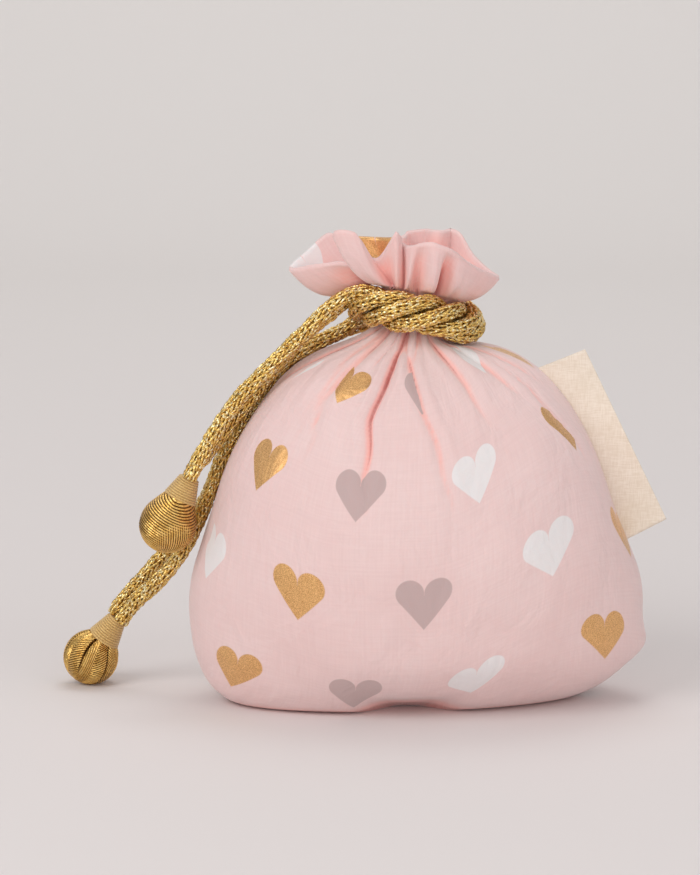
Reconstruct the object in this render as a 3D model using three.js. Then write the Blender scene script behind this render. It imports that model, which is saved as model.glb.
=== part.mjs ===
// Cotton drawstring gift pouch: a hollow bag that is gathered to a narrow neck below a flared ruffle,
// two doubled knitted cords twisted round the neck, thread-wound collars and cloth balls on the cord
// ends, and a plain cloth tab in the right side seam.
// Millimetres, +Z up, the front faces -Y. The origin is the middle of the base, on the surface below it.
import * as THREE from "three";

// Driving dimensions
const POUCH_WIDTH = 141;
const POUCH_DEPTH = 92;
const NECK_HEIGHT = 123;
const WALL = 1.2;
const GAP = 0.3;
const CORD_DIAMETER = 4;
const CORD_SIDES = 8;
const CORD_STEP = 5;
const LABEL_THICKNESS = 1;
const BALL_DIAMETER = 17.6;
const BALL_SIDES = 16;
const BALL_RINGS = 9;
const BALL_PLEAT_DEPTH = 0.035;
const COLLAR_SEAT = 0.86;
const COLLAR_SIDES = 12;
const COLLAR_FOOT_RADIUS = 5.0;
const COLLAR_TOP_RADIUS = 3.3;
const COLLAR_WINDINGS = 3;
const COLLAR_SWELL = 0.35;

// Sections of the bag from the base to the neck.
// up: share of the neck height. across, deep: shares of half the width and half the depth.
// lift, tuck: shares of the raised arch under the front edge. drop: share of the wrap's drop to the right.
const SECTIONS = [
  { up: 0.000, across: 0.735, deep: 0.430, lift: 0.00, tuck: 1.00, drop: 0.00 },
  { up: 0.013, across: 0.800, deep: 0.540, lift: 1.00, tuck: 0.20, drop: 0.00 },
  { up: 0.042, across: 0.878, deep: 0.650, lift: 0.70, tuck: 0.00, drop: 0.00 },
  { up: 0.085, across: 0.940, deep: 0.765, lift: 0.30, tuck: 0.00, drop: 0.00 },
  { up: 0.145, across: 0.986, deep: 0.865, lift: 0.00, tuck: 0.00, drop: 0.00 },
  { up: 0.230, across: 1.000, deep: 0.935, lift: 0.00, tuck: 0.00, drop: 0.00 },
  { up: 0.365, across: 0.963, deep: 0.992, lift: 0.00, tuck: 0.00, drop: 0.00 },
  { up: 0.500, across: 0.885, deep: 0.985, lift: 0.00, tuck: 0.00, drop: 0.00 },
  { up: 0.590, across: 0.830, deep: 0.935, lift: 0.00, tuck: 0.00, drop: 0.00 },
  { up: 0.670, across: 0.770, deep: 0.855, lift: 0.00, tuck: 0.00, drop: 0.00 },
  { up: 0.740, across: 0.700, deep: 0.755, lift: 0.00, tuck: 0.00, drop: 0.00 },
  { up: 0.800, across: 0.620, deep: 0.645, lift: 0.00, tuck: 0.00, drop: 0.00 },
  { up: 0.850, across: 0.530, deep: 0.525, lift: 0.00, tuck: 0.00, drop: 0.00 },
  { up: 0.888, across: 0.415, deep: 0.415, lift: 0.00, tuck: 0.00, drop: 0.00 },
  { up: 0.914, across: 0.295, deep: 0.325, lift: 0.00, tuck: 0.00, drop: 0.15 },
  { up: 0.936, across: 0.195, deep: 0.255, lift: 0.00, tuck: 0.00, drop: 0.70 },
  { up: 0.962, across: 0.135, deep: 0.206, lift: 0.00, tuck: 0.00, drop: 1.00 },
  { up: 1.000, across: 0.132, deep: 0.202, lift: 0.00, tuck: 0.00, drop: 1.00 },
];

// Creases that the neck draws down into the body: bearings and heights of the line from the top down,
// depth of the furrow and half its width
const CREASES = [
  { bearings: [-109, -113, -116, -114], heights: [121, 110, 98, 72], depth: 3.4, width: 4.5 },
  { bearings: [-148, -145, -142, -142], heights: [121, 108, 96, 70], depth: 2.4, width: 6.0 },
  { bearings: [-103, -90, -78, -80], heights: [121, 104, 82, 60], depth: 2.2, width: 5.5 },
  { bearings: [-60, -44, -30, -20], heights: [121, 110, 104, 96], depth: 2.2, width: 4.5 },
  { bearings: [-165, -169, -173, -177], heights: [121, 110, 102, 92], depth: 2.4, width: 4.5 },
  { bearings: [24, 22, 20, 19], heights: [121, 110, 98, 76], depth: 2.2, width: 5.5 },
  { bearings: [52, 55, 58, 60], heights: [121, 108, 94, 70], depth: 2.6, width: 6.0 },
  { bearings: [84, 82, 80, 79], heights: [121, 110, 98, 80], depth: 2.4, width: 5.0 },
  { bearings: [108, 113, 116, 118], heights: [121, 106, 90, 66], depth: 2.8, width: 6.0 },
  { bearings: [136, 138, 141, 143], heights: [121, 110, 98, 78], depth: 2.2, width: 5.0 },
];

// Folds of the ruffle from the left tip round the front.
// bearing: degrees from +X at the neck. across, deep, up: where the fold meets the rim.
// sag: how far it hangs on the way there. flare: how late it turns outwards.
const FOLDS = [
  { name: "left tip", bearing: -180, across: -39.0, deep: 3.0, up: 134.0, sag: 6.0, flare: 0.85 },
  { name: "front lip", bearing: -171, across: -31.0, deep: -5.0, up: 136.0, sag: 3.0, flare: 0.85 },
  { name: "front lip end", bearing: -163, across: -24.5, deep: -9.0, up: 137.0, sag: 0.0, flare: 0.80 },
  { name: "strap valley", bearing: -156, across: -19.5, deep: -9.5, up: 138.0, sag: 0.0, flare: 0.70 },
  { name: "strap left", bearing: -150, across: -25.5, deep: -14.5, up: 146.6, sag: 0.0, flare: 0.60 },
  { name: "strap right", bearing: -129, across: -18.0, deep: -16.5, up: 146.8, sag: 0.0, flare: 0.55 },
  { name: "notch", bearing: -121, across: -12.0, deep: -12.5, up: 138.8, sag: 0.0, flare: 0.60 },
  { name: "narrow fold", bearing: -116, across: -7.0, deep: -18.0, up: 146.8, sag: 0.0, flare: 0.50 },
  { name: "narrow fold right", bearing: -112, across: -4.6, deep: -16.5, up: 146.4, sag: 0.0, flare: 0.50 },
  { name: "crease", bearing: -109, across: -4.2, deep: -11.5, up: 142.6, sag: 0.0, flare: 0.60 },
  { name: "lobe left", bearing: -104, across: -1.8, deep: -19.0, up: 143.4, sag: 0.0, flare: 0.45 },
  { name: "lobe", bearing: -86, across: 3.5, deep: -23.0, up: 144.6, sag: 0.0, flare: 0.45 },
  { name: "lobe right", bearing: -66, across: 8.8, deep: -22.0, up: 143.0, sag: 0.0, flare: 0.45 },
  { name: "right lip", bearing: -46, across: 15.0, deep: -17.0, up: 138.6, sag: 0.0, flare: 0.50 },
  { name: "right lip end", bearing: -25, across: 21.0, deep: -9.0, up: 134.4, sag: 0.5, flare: 0.60 },
  { name: "right tip", bearing: -4, across: 25.8, deep: -0.5, up: 131.8, sag: 1.0, flare: 0.75 },
  { name: "rear lip end", bearing: 13, across: 22.5, deep: 7.0, up: 133.6, sag: 0.5, flare: 0.60 },
  { name: "rear lip", bearing: 28, across: 18.0, deep: 12.0, up: 137.6, sag: 0.0, flare: 0.50 },
  { name: "rear right corner", bearing: 44, across: 14.6, deep: 16.5, up: 143.6, sag: 0.0, flare: 0.45 },
  { name: "rear right lobe", bearing: 56, across: 11.0, deep: 19.5, up: 144.8, sag: 0.0, flare: 0.45 },
  { name: "rear right crease", bearing: 67, across: 7.2, deep: 15.0, up: 144.6, sag: 0.0, flare: 0.50 },
  { name: "rear lobe", bearing: 80, across: 3.8, deep: 20.0, up: 144.6, sag: 0.0, flare: 0.45 },
  { name: "rear lobe left", bearing: 92, across: -2.6, deep: 18.5, up: 144.0, sag: 0.0, flare: 0.45 },
  { name: "rear crease", bearing: 102, across: -5.0, deep: 13.0, up: 142.8, sag: 0.0, flare: 0.55 },
  { name: "rear middle", bearing: 115, across: -12.0, deep: 17.0, up: 142.4, sag: 0.0, flare: 0.50 },
  { name: "rear left", bearing: 131, across: -19.5, deep: 17.0, up: 142.6, sag: 0.0, flare: 0.50 },
  { name: "rear left crease", bearing: 142, across: -22.5, deep: 12.5, up: 142.8, sag: 0.0, flare: 0.60 },
  { name: "rear left corner", bearing: 152, across: -27.0, deep: 12.5, up: 144.0, sag: 0.0, flare: 0.65 },
  { name: "left rear lip", bearing: 168, across: -33.5, deep: 8.5, up: 139.0, sag: 4.5, flare: 0.80 },
];
const COLUMNS_PER_FOLD = 3;
const RUFFLE_STEPS = 4;
const RUFFLE_RISE = 1.25;
const SAG_PEAK = 4;

// Raised arch under the middle of the front edge, between the two lobes that the bag stands on.
// The base lies a little to the left and is turned, with its left lobe forwards: turn is a share of the
// way across. Both fade out up to a height.
const ARCH = { bearing: -89, spread: 31, lift: 3, tuck: 9 };
const BASE_SHIFT = { across: -3.2, turn: 0.1, height: 25 };

// Tip of the sewn corner low on the right side
const CORNER = { bearing: 0, up: 17, out: 3, spread: 7, rise: 6 };

// Tab in the right side seam: its outer top corner, its length and lean, and where its ends leave the seam
const LABEL = { across: 52.4, up: 110, length: 59.5, lean: 25.9, seamTop: 103.8, seamBottom: 50 };

// Twisted wrap round the neck: radius of its centre line, of each strand about that line, turns of twist
// for one turn round the neck, the bearing where the lower pair is outermost, and the slope and the
// further dip to the right. The ruffle turns out over the wrap, at a distance from the same line.
const WRAP = { radius: 15.5, ply: 3.95, twist: 2.2, phaseBearing: -135, slope: 5, dip: 3.6, step: 12 };
const PAIR_ROLL = 180;
const TWIN_ROLL = 45;
const TURN_OUT = { radius: 7, angles: [35, 75] };
const ENTRY = { inset: 1.2, nearest: 11.7 };

// Ball ends: the ball's centre and the point on its axis where the two cord ends meet the collar
const BALL_ENDS = [
  { name: "upper", centre: [-76.6, -5.0, 56.0], tip: [-69.8, -5.0, 70.6], pleats: 11 },
  { name: "lower", centre: [-102.6, 19.0, 8.8], tip: [-94.2, 17.5, 21.4], pleats: 7 },
];

// Cord strands. pair: half-turns of the rope to this pair. twin: eighths of a turn within the pair.
// from, to: bearings where the strand joins and leaves the wrap. free: the rest of its route to the collar.
const STRANDS = [
  {
    name: "cord_upper_front", pair: 1, twin: -1, from: 4, to: -135,
    free: [
      [-12.9, -7.2, 128.2], [-17.0, -6.4, 128.4], [-21.4, -6.8, 127.2], [-25.7, -7.6, 124.4],
      [-30.0, -8.1, 120.6], [-34.6, -8.1, 115.8], [-39.8, -7.6, 110.8], [-45.2, -7.2, 105.2],
      [-51.0, -6.8, 99.4], [-56.2, -6.8, 93.4], [-60.6, -7.0, 87.0], [-64.4, -7.3, 80.8],
      [-67.3, -7.5, 75.8], [-68.6, -7.5, 73.0], [-69.8, -7.5, 70.6],
    ],
  },
  {
    name: "cord_upper_back", pair: 1, twin: 1, from: 4, to: -165,
    free: [
      [-16.4, -1.6, 127.0], [-20.9, -1.6, 125.7], [-25.2, -2.4, 122.4], [-29.6, -3.0, 119.0],
      [-34.0, -2.8, 115.2], [-38.0, -2.4, 110.8], [-41.6, -2.2, 106.8],
      [-45.2, -2.2, 102.9], [-49.6, -1.8, 97.0], [-54.3, -1.8, 91.1], [-59.0, -2.0, 84.9],
      [-63.5, -2.3, 79.0], [-67.4, -2.5, 74.4], [-69.8, -2.5, 70.6],
    ],
  },
  {
    name: "cord_lower_front", pair: 0, twin: -1, from: -184, to: 120,
    free: [
      [-10.6, 8.7, 122.4], [-17.0, 8.9, 118.4], [-24.0, 8.4, 114.0], [-30.2, 6.4, 111.4],
      [-36.4, 4.8, 108.2], [-41.7, 3.8, 104.2], [-46.3, 3.4, 98.6], [-51.4, 3.2, 91.5],
      [-55.9, 3.2, 83.6], [-59.9, 3.4, 75.2], [-63.3, 3.8, 66.4], [-66.8, 4.4, 57.4],
      [-70.8, 5.4, 48.6], [-76.0, 7.2, 40.6], [-82.0, 9.8, 33.6], [-87.8, 13.2, 27.8],
      [-91.2, 15.3, 23.4], [-93.1, 15.6, 20.5],
    ],
  },
  {
    name: "cord_lower_back", pair: 0, twin: 1, from: -184, to: 120,
    free: [
      [-12.0, 15.0, 117.6], [-18.2, 15.0, 115.2], [-24.8, 13.8, 113.0], [-31.0, 11.6, 110.2],
      [-37.0, 9.8, 106.8], [-42.1, 8.8, 102.2], [-46.7, 8.4, 96.6], [-51.9, 8.2, 89.4],
      [-56.5, 8.2, 81.6], [-60.5, 8.4, 73.2], [-63.9, 8.8, 64.6], [-68.2, 9.8, 56.4],
      [-74.0, 11.6, 48.8], [-80.2, 14.0, 41.4], [-86.6, 16.6, 34.0], [-91.4, 18.4, 28.2],
      [-93.6, 19.1, 25.0], [-95.3, 19.4, 22.3],
    ],
  },
];

const degrees = THREE.MathUtils.degToRad;
const bump = (offset, spread) => Math.exp(-((offset / spread) ** 2));
const plateau = (offset, spread) => Math.exp(-((offset / spread) ** 4));
const HALF_TURN = 180;
const wholeTurn = (angle) => THREE.MathUtils.euclideanModulo(angle + HALF_TURN, 2 * HALF_TURN) - HALF_TURN;
const polarPoint = (radius, bearing, up) => {
  return new THREE.Vector3(radius * Math.cos(degrees(bearing)), radius * Math.sin(degrees(bearing)), up);
};

// Materials
const cotton = new THREE.MeshStandardMaterial({ color: 0xeccfcc, roughness: 0.9, side: THREE.DoubleSide });
const labelCloth = new THREE.MeshStandardMaterial({ color: 0xe6d6c2, roughness: 0.95 });
const cordKnit = new THREE.MeshStandardMaterial({ color: 0xb98a3c, roughness: 0.4, metalness: 0.8 });
const thread = new THREE.MeshStandardMaterial({ color: 0xc9a766, roughness: 0.6, metalness: 0.2 });
const ballCloth = new THREE.MeshStandardMaterial({ color: 0xa57c36, roughness: 0.45, metalness: 0.7 });

// How far the wrap is lower at a bearing than at the middle of the front
function wrapDrop(bearing) {
  const across = Math.cos(degrees(bearing));
  return WRAP.radius * across * Math.tan(degrees(WRAP.slope)) + WRAP.dip * Math.max(0, across) ** 2;
}

// One entry for each column of the bag's cloth: its bearing at the neck, its rim point, sag and flare
function clothColumns() {
  const rim = FOLDS.map((fold) => new THREE.Vector3(fold.across, fold.deep, fold.up));
  const edge = new THREE.CatmullRomCurve3(rim, true, "catmullrom");
  return FOLDS.flatMap((fold, index) => {
    const next = FOLDS[(index + 1) % FOLDS.length];
    const sweep = THREE.MathUtils.euclideanModulo(next.bearing - fold.bearing, 2 * HALF_TURN);
    return Array.from({ length: COLUMNS_PER_FOLD }, (_, step) => {
      const share = step / COLUMNS_PER_FOLD;
      return {
        bearing: fold.bearing + sweep * share,
        rim: edge.getPoint((index + share) / FOLDS.length),
        sag: THREE.MathUtils.lerp(fold.sag, next.sag, share),
        flare: THREE.MathUtils.lerp(fold.flare, next.flare, share),
      };
    });
  });
}

// Half the width of a section at a bearing, before creases
function ovalRadius(section, bearing) {
  const across = (section.across * POUCH_WIDTH) / 2;
  const deep = (section.deep * POUCH_DEPTH) / 2;
  return 1 / Math.hypot(Math.cos(degrees(bearing)) / across, Math.sin(degrees(bearing)) / deep);
}

// Depth of one crease at a bearing and height, on an oval of a given radius
function creaseDepth(crease, bearing, height, radius) {
  const { bearings, heights, depth, width } = crease;
  const top = heights[0];
  const foot = heights[heights.length - 1];
  if (height <= foot || height >= top) return 0;
  const below = heights.findIndex((level) => level < height);
  const part = (height - heights[below]) / (heights[below - 1] - heights[below]);
  const line = THREE.MathUtils.lerp(bearings[below], bearings[below - 1], part);
  const offset = Math.abs(degrees(wholeTurn(bearing - line))) * radius;
  const share = (height - foot) / (top - foot);
  return depth * Math.sin(Math.PI * share) * Math.max(0, 1 - offset / width);
}

function bodyPoint(section, column) {
  const { bearing } = column;
  const height = section.up * NECK_HEIGHT;
  const oval = ovalRadius(section, bearing);
  const arch = plateau(wholeTurn(bearing - ARCH.bearing), ARCH.spread);
  const beside = bump(wholeTurn(bearing - CORNER.bearing), CORNER.spread);
  const corner = CORNER.out * beside * bump(height - CORNER.up, CORNER.rise);
  const creases = CREASES.reduce((sum, crease) => sum + creaseDepth(crease, bearing, height, oval), 0);
  const radius = oval - creases + corner - ARCH.tuck * section.tuck * arch;
  const up = height + ARCH.lift * section.lift * arch - section.drop * wrapDrop(bearing);
  const point = polarPoint(radius, bearing, up);
  const shifted = Math.max(0, 1 - height / BASE_SHIFT.height) ** 2;
  point.x += BASE_SHIFT.across * shifted;
  point.y += BASE_SHIFT.turn * point.x * shifted;
  return point;
}

// Where the cloth of the neck turns out over the wrap, by the angle that it has turned
function turnOutPoint(column, angle) {
  const radius = WRAP.radius - TURN_OUT.radius * Math.cos(degrees(angle));
  const up = NECK_HEIGHT + TURN_OUT.radius * Math.sin(degrees(angle)) - wrapDrop(column.bearing);
  return polarPoint(radius, column.bearing, up);
}

function rufflePoint(column, share) {
  const start = turnOutPoint(column, TURN_OUT.angles[TURN_OUT.angles.length - 1]);
  const out = share ** column.flare;
  const rise = share ** RUFFLE_RISE;
  const hang = column.sag * SAG_PEAK * share * (1 - share);
  return new THREE.Vector3(
    THREE.MathUtils.lerp(start.x, column.rim.x, out),
    THREE.MathUtils.lerp(start.y, column.rim.y, out),
    THREE.MathUtils.lerp(start.z, column.rim.z, rise) - hang,
  );
}

// Closed shell from rings of points listed from the base up, with the inner skin one wall further in
function shellGeometry(rings, wall) {
  const count = rings[0].length;
  const outer = [new THREE.Vector3(0, 0, 0), ...rings.flat()];
  const skin = [];
  for (let i = 0; i < count; i++) {
    const next = (i + 1) % count;
    skin.push([0, 1 + next, 1 + i]);
    for (let ring = 0; ring < rings.length - 1; ring++) {
      const a = 1 + ring * count + i;
      const b = 1 + ring * count + next;
      skin.push([a, b, b + count], [a, b + count, a + count]);
    }
  }
  const open = new THREE.BufferGeometry().setFromPoints(outer);
  open.setIndex(skin.flat());
  open.computeVertexNormals();
  const normal = open.getAttribute("normal");
  const inner = outer.map((point, i) => {
    const inward = new THREE.Vector3().fromBufferAttribute(normal, i).multiplyScalar(-wall);
    return inward.add(point);
  });
  const faces = [...skin, ...skin.map(([a, b, c]) => [a + outer.length, c + outer.length, b + outer.length])];
  const rim = outer.length - count;
  for (let i = 0; i < count; i++) {
    const a = rim + i;
    const b = rim + ((i + 1) % count);
    faces.push([a, b, b + outer.length], [a, b + outer.length, a + outer.length]);
  }
  const shell = new THREE.BufferGeometry().setFromPoints([...outer, ...inner]);
  shell.setIndex(faces.flat());
  shell.computeVertexNormals();
  return shell;
}

function makePouch() {
  const columns = clothColumns();
  const rings = SECTIONS.map((section) => columns.map((column) => bodyPoint(section, column)));
  for (const angle of TURN_OUT.angles) {
    rings.push(columns.map((column) => turnOutPoint(column, angle)));
  }
  for (let step = 1; step <= RUFFLE_STEPS; step++) {
    rings.push(columns.map((column) => rufflePoint(column, step / RUFFLE_STEPS)));
  }
  const pouch = new THREE.Mesh(shellGeometry(rings, WALL), cotton);
  pouch.name = "pouch";
  return pouch;
}

// How far the right side seam lies from the axis at a height
function seamReach(height) {
  const above = SECTIONS.findIndex((section) => section.up * NECK_HEIGHT >= height);
  const [low, high] = [SECTIONS[above - 1], SECTIONS[above]];
  const share = (height / NECK_HEIGHT - low.up) / (high.up - low.up);
  return THREE.MathUtils.lerp(ovalRadius(low, 0), ovalRadius(high, 0), share);
}

// Flat tab whose inner edge follows the seam that it is caught in
function makeLabel() {
  const lean = degrees(LABEL.lean);
  const outerBottom = {
    across: LABEL.across + LABEL.length * Math.sin(lean),
    up: LABEL.up - LABEL.length * Math.cos(lean),
  };
  const seamHeights = SECTIONS.map((section) => section.up * NECK_HEIGHT)
    .filter((height) => height > LABEL.seamBottom && height < LABEL.seamTop);
  const outline = new THREE.Shape();
  outline.moveTo(LABEL.across, LABEL.up);
  outline.lineTo(outerBottom.across, outerBottom.up);
  for (const height of [LABEL.seamBottom, ...seamHeights, LABEL.seamTop]) {
    outline.lineTo(seamReach(height) + GAP, height);
  }
  outline.closePath();
  const tab = new THREE.ExtrudeGeometry(outline, { depth: LABEL_THICKNESS, bevelEnabled: false });
  const label = new THREE.Mesh(tab, labelCloth);
  label.name = "side_label";
  label.rotation.x = Math.PI / 2;
  label.position.y = LABEL_THICKNESS / 2;
  return label;
}

// Point on the centre line of one strand of the twisted wrap
function wrapPoint(strand, bearing) {
  const twist = WRAP.twist * (bearing - WRAP.phaseBearing);
  const roll = degrees(twist + PAIR_ROLL * strand.pair + TWIN_ROLL * strand.twin);
  const up = NECK_HEIGHT + WRAP.ply * Math.sin(roll) - wrapDrop(bearing);
  return polarPoint(WRAP.radius + WRAP.ply * Math.cos(roll), bearing, up);
}

// Where a strand comes out of the cloth of the neck, just before it joins the wrap
function entryPoint(strand) {
  const back = strand.from > strand.to ? WRAP.step : -WRAP.step;
  const joined = wrapPoint(strand, strand.from);
  const radius = Math.max(Math.hypot(joined.x, joined.y) - ENTRY.inset, ENTRY.nearest);
  return polarPoint(radius, strand.from + back, joined.z);
}

function makeStrand(strand) {
  const points = [entryPoint(strand)];
  const turns = Math.ceil(Math.abs(strand.to - strand.from) / WRAP.step);
  for (let i = 0; i <= turns; i++) {
    points.push(wrapPoint(strand, THREE.MathUtils.lerp(strand.from, strand.to, i / turns)));
  }
  points.push(...strand.free.map((point) => new THREE.Vector3(...point)));
  const path = new THREE.CatmullRomCurve3(points);
  const section = new THREE.Shape();
  for (let side = 0; side < CORD_SIDES; side++) {
    const turn = (side / CORD_SIDES) * Math.PI * 2;
    const x = (CORD_DIAMETER / 2) * Math.cos(turn);
    const y = (CORD_DIAMETER / 2) * Math.sin(turn);
    side === 0 ? section.moveTo(x, y) : section.lineTo(x, y);
  }
  section.closePath();
  const steps = Math.round(path.getLength() / CORD_STEP);
  const tube = new THREE.ExtrudeGeometry(section, { steps, extrudePath: path, bevelEnabled: false });
  const cord = new THREE.Mesh(tube, cordKnit);
  cord.name = strand.name;
  return cord;
}

// Ball gathered towards the collar, on the Z axis
function ballGeometry(pleats) {
  const radius = BALL_DIAMETER / 2;
  const seatAngle = Math.acos(COLLAR_SEAT);
  const profile = [];
  for (let ring = 0; ring <= BALL_RINGS; ring++) {
    const angle = Math.PI - (Math.PI - seatAngle) * (ring / BALL_RINGS);
    profile.push(new THREE.Vector2(ring === 0 ? 0 : radius * Math.sin(angle), radius * Math.cos(angle)));
  }
  profile.push(new THREE.Vector2(0, radius * COLLAR_SEAT));
  const ball = new THREE.LatheGeometry(profile, BALL_SIDES);
  ball.rotateX(Math.PI / 2);
  const position = ball.getAttribute("position");
  for (let i = 0; i < position.count; i++) {
    const point = new THREE.Vector3().fromBufferAttribute(position, i);
    const gathered = (1 + point.z / radius) / 2;
    const turn = Math.round((Math.atan2(point.y, point.x) * BALL_SIDES) / (2 * Math.PI));
    const wave = 1 - Math.cos((turn / BALL_SIDES) * 2 * Math.PI * pleats);
    const pleat = 1 - BALL_PLEAT_DEPTH * gathered * wave;
    position.setXYZ(i, point.x * pleat, point.y * pleat, point.z);
  }
  return ball;
}

function collarGeometry(length) {
  const profile = [new THREE.Vector2(0, 0)];
  const steps = COLLAR_WINDINGS * 2;
  for (let step = 0; step <= steps; step++) {
    const taper = THREE.MathUtils.lerp(COLLAR_FOOT_RADIUS, COLLAR_TOP_RADIUS, step / steps);
    const swell = step % 2 === 1 ? COLLAR_SWELL : 0;
    profile.push(new THREE.Vector2(taper + swell, (length * step) / steps));
  }
  profile.push(new THREE.Vector2(0, length));
  const collar = new THREE.LatheGeometry(profile, COLLAR_SIDES);
  collar.rotateX(Math.PI / 2);
  return collar;
}

function makeBallEnd(end) {
  const centre = new THREE.Vector3(...end.centre);
  const axis = new THREE.Vector3(...end.tip).sub(centre);
  const seat = (BALL_DIAMETER / 2) * COLLAR_SEAT + GAP;
  const ball = new THREE.Mesh(ballGeometry(end.pleats), ballCloth);
  ball.name = `ball_${end.name}`;
  const collar = new THREE.Mesh(collarGeometry(axis.length() - seat - GAP), thread);
  collar.name = `collar_${end.name}`;
  collar.position.z = seat;
  const group = new THREE.Group();
  group.add(ball, collar);
  group.position.copy(centre);
  group.quaternion.setFromUnitVectors(new THREE.Vector3(0, 0, 1), axis.normalize());
  return group;
}

const giftPouch = new THREE.Group();
giftPouch.add(makePouch(), makeLabel(), ...STRANDS.map(makeStrand), ...BALL_ENDS.map(makeBallEnd));

export default giftPouch;
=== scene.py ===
import math

import bpy
import numpy as np
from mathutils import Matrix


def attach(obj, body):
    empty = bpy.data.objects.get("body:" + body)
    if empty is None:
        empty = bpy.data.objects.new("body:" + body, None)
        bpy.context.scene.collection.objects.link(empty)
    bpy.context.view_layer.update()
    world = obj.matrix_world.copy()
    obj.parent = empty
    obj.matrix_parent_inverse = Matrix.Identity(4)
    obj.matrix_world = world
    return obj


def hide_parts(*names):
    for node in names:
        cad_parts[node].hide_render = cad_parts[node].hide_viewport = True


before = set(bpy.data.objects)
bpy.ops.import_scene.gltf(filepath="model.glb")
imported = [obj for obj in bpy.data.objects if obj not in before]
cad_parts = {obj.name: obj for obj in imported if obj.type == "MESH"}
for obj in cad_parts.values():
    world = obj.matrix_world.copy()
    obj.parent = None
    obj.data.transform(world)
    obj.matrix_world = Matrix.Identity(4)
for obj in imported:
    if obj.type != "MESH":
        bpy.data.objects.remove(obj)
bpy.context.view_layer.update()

# Camera: a little above the bag and square on to its front, far enough off to flatten perspective.
# The aim is the middle of the photographed frame.
CAMERA_DISTANCE = 1.1
CAMERA_ELEVATION = math.radians(9)
CAMERA_AIM = (-0.0202, 0.0, 0.0824)
CAMERA_LENS = 146

camera_data = bpy.data.cameras.new("camera")
camera_data.lens = CAMERA_LENS
camera_data.clip_start = 0.01
camera = bpy.data.objects.new("camera", camera_data)
camera.location = (
    CAMERA_AIM[0],
    CAMERA_AIM[1] - CAMERA_DISTANCE * math.cos(CAMERA_ELEVATION),
    CAMERA_AIM[2] + CAMERA_DISTANCE * math.sin(CAMERA_ELEVATION),
)
camera.rotation_euler = (math.pi / 2 - CAMERA_ELEVATION, 0, 0)
bpy.context.scene.collection.objects.link(camera)
bpy.context.scene.camera = camera
bpy.context.scene.view_settings.view_transform = "Standard"

# Drawstrings: two doubled cords, knitted as a fine round chain from metallic gold yarn. They come out
# of the casing at the neck, twist together round it and hang on the left, where each pair is bound.
CORD_DIAMETER = 0.0045
KNIT_WALES = 5
KNIT_PITCH = 0.0023
KNIT_YARN_RADIUS = 0.00044
KNIT_CORE_SHARE = 0.50
KNIT_TWIST = 0.12
KNIT_JITTER = (0.16, 0.10, 0.14)
NECK_HEIGHT = 0.123
WRAP_RADIUS = 0.0155
WRAP_PLY = 0.00395
WRAP_TWIST = 2.2
WRAP_PHASE = -135
WRAP_SLOPE = math.tan(math.radians(5))
WRAP_DIP = 0.0036
WRAP_STEP = 12
ENTRY_INSET = 0.0012
ENTRY_NEAREST = 0.0117
CASING_RADIUS = 0.0085
ROUTE_STEPS = 4
CORD_COLOUR = (0.94, 0.68, 0.22)
CORD_DARK = (0.56, 0.30, 0.06)
# painted glints: near white on scattered facets of the yarn
CORD_PAINTED_GLINT = (1.0, 0.90, 0.56)
GLINT_SCALE = 2400
PAINTED_GLINT_SCALE = 1680

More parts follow.
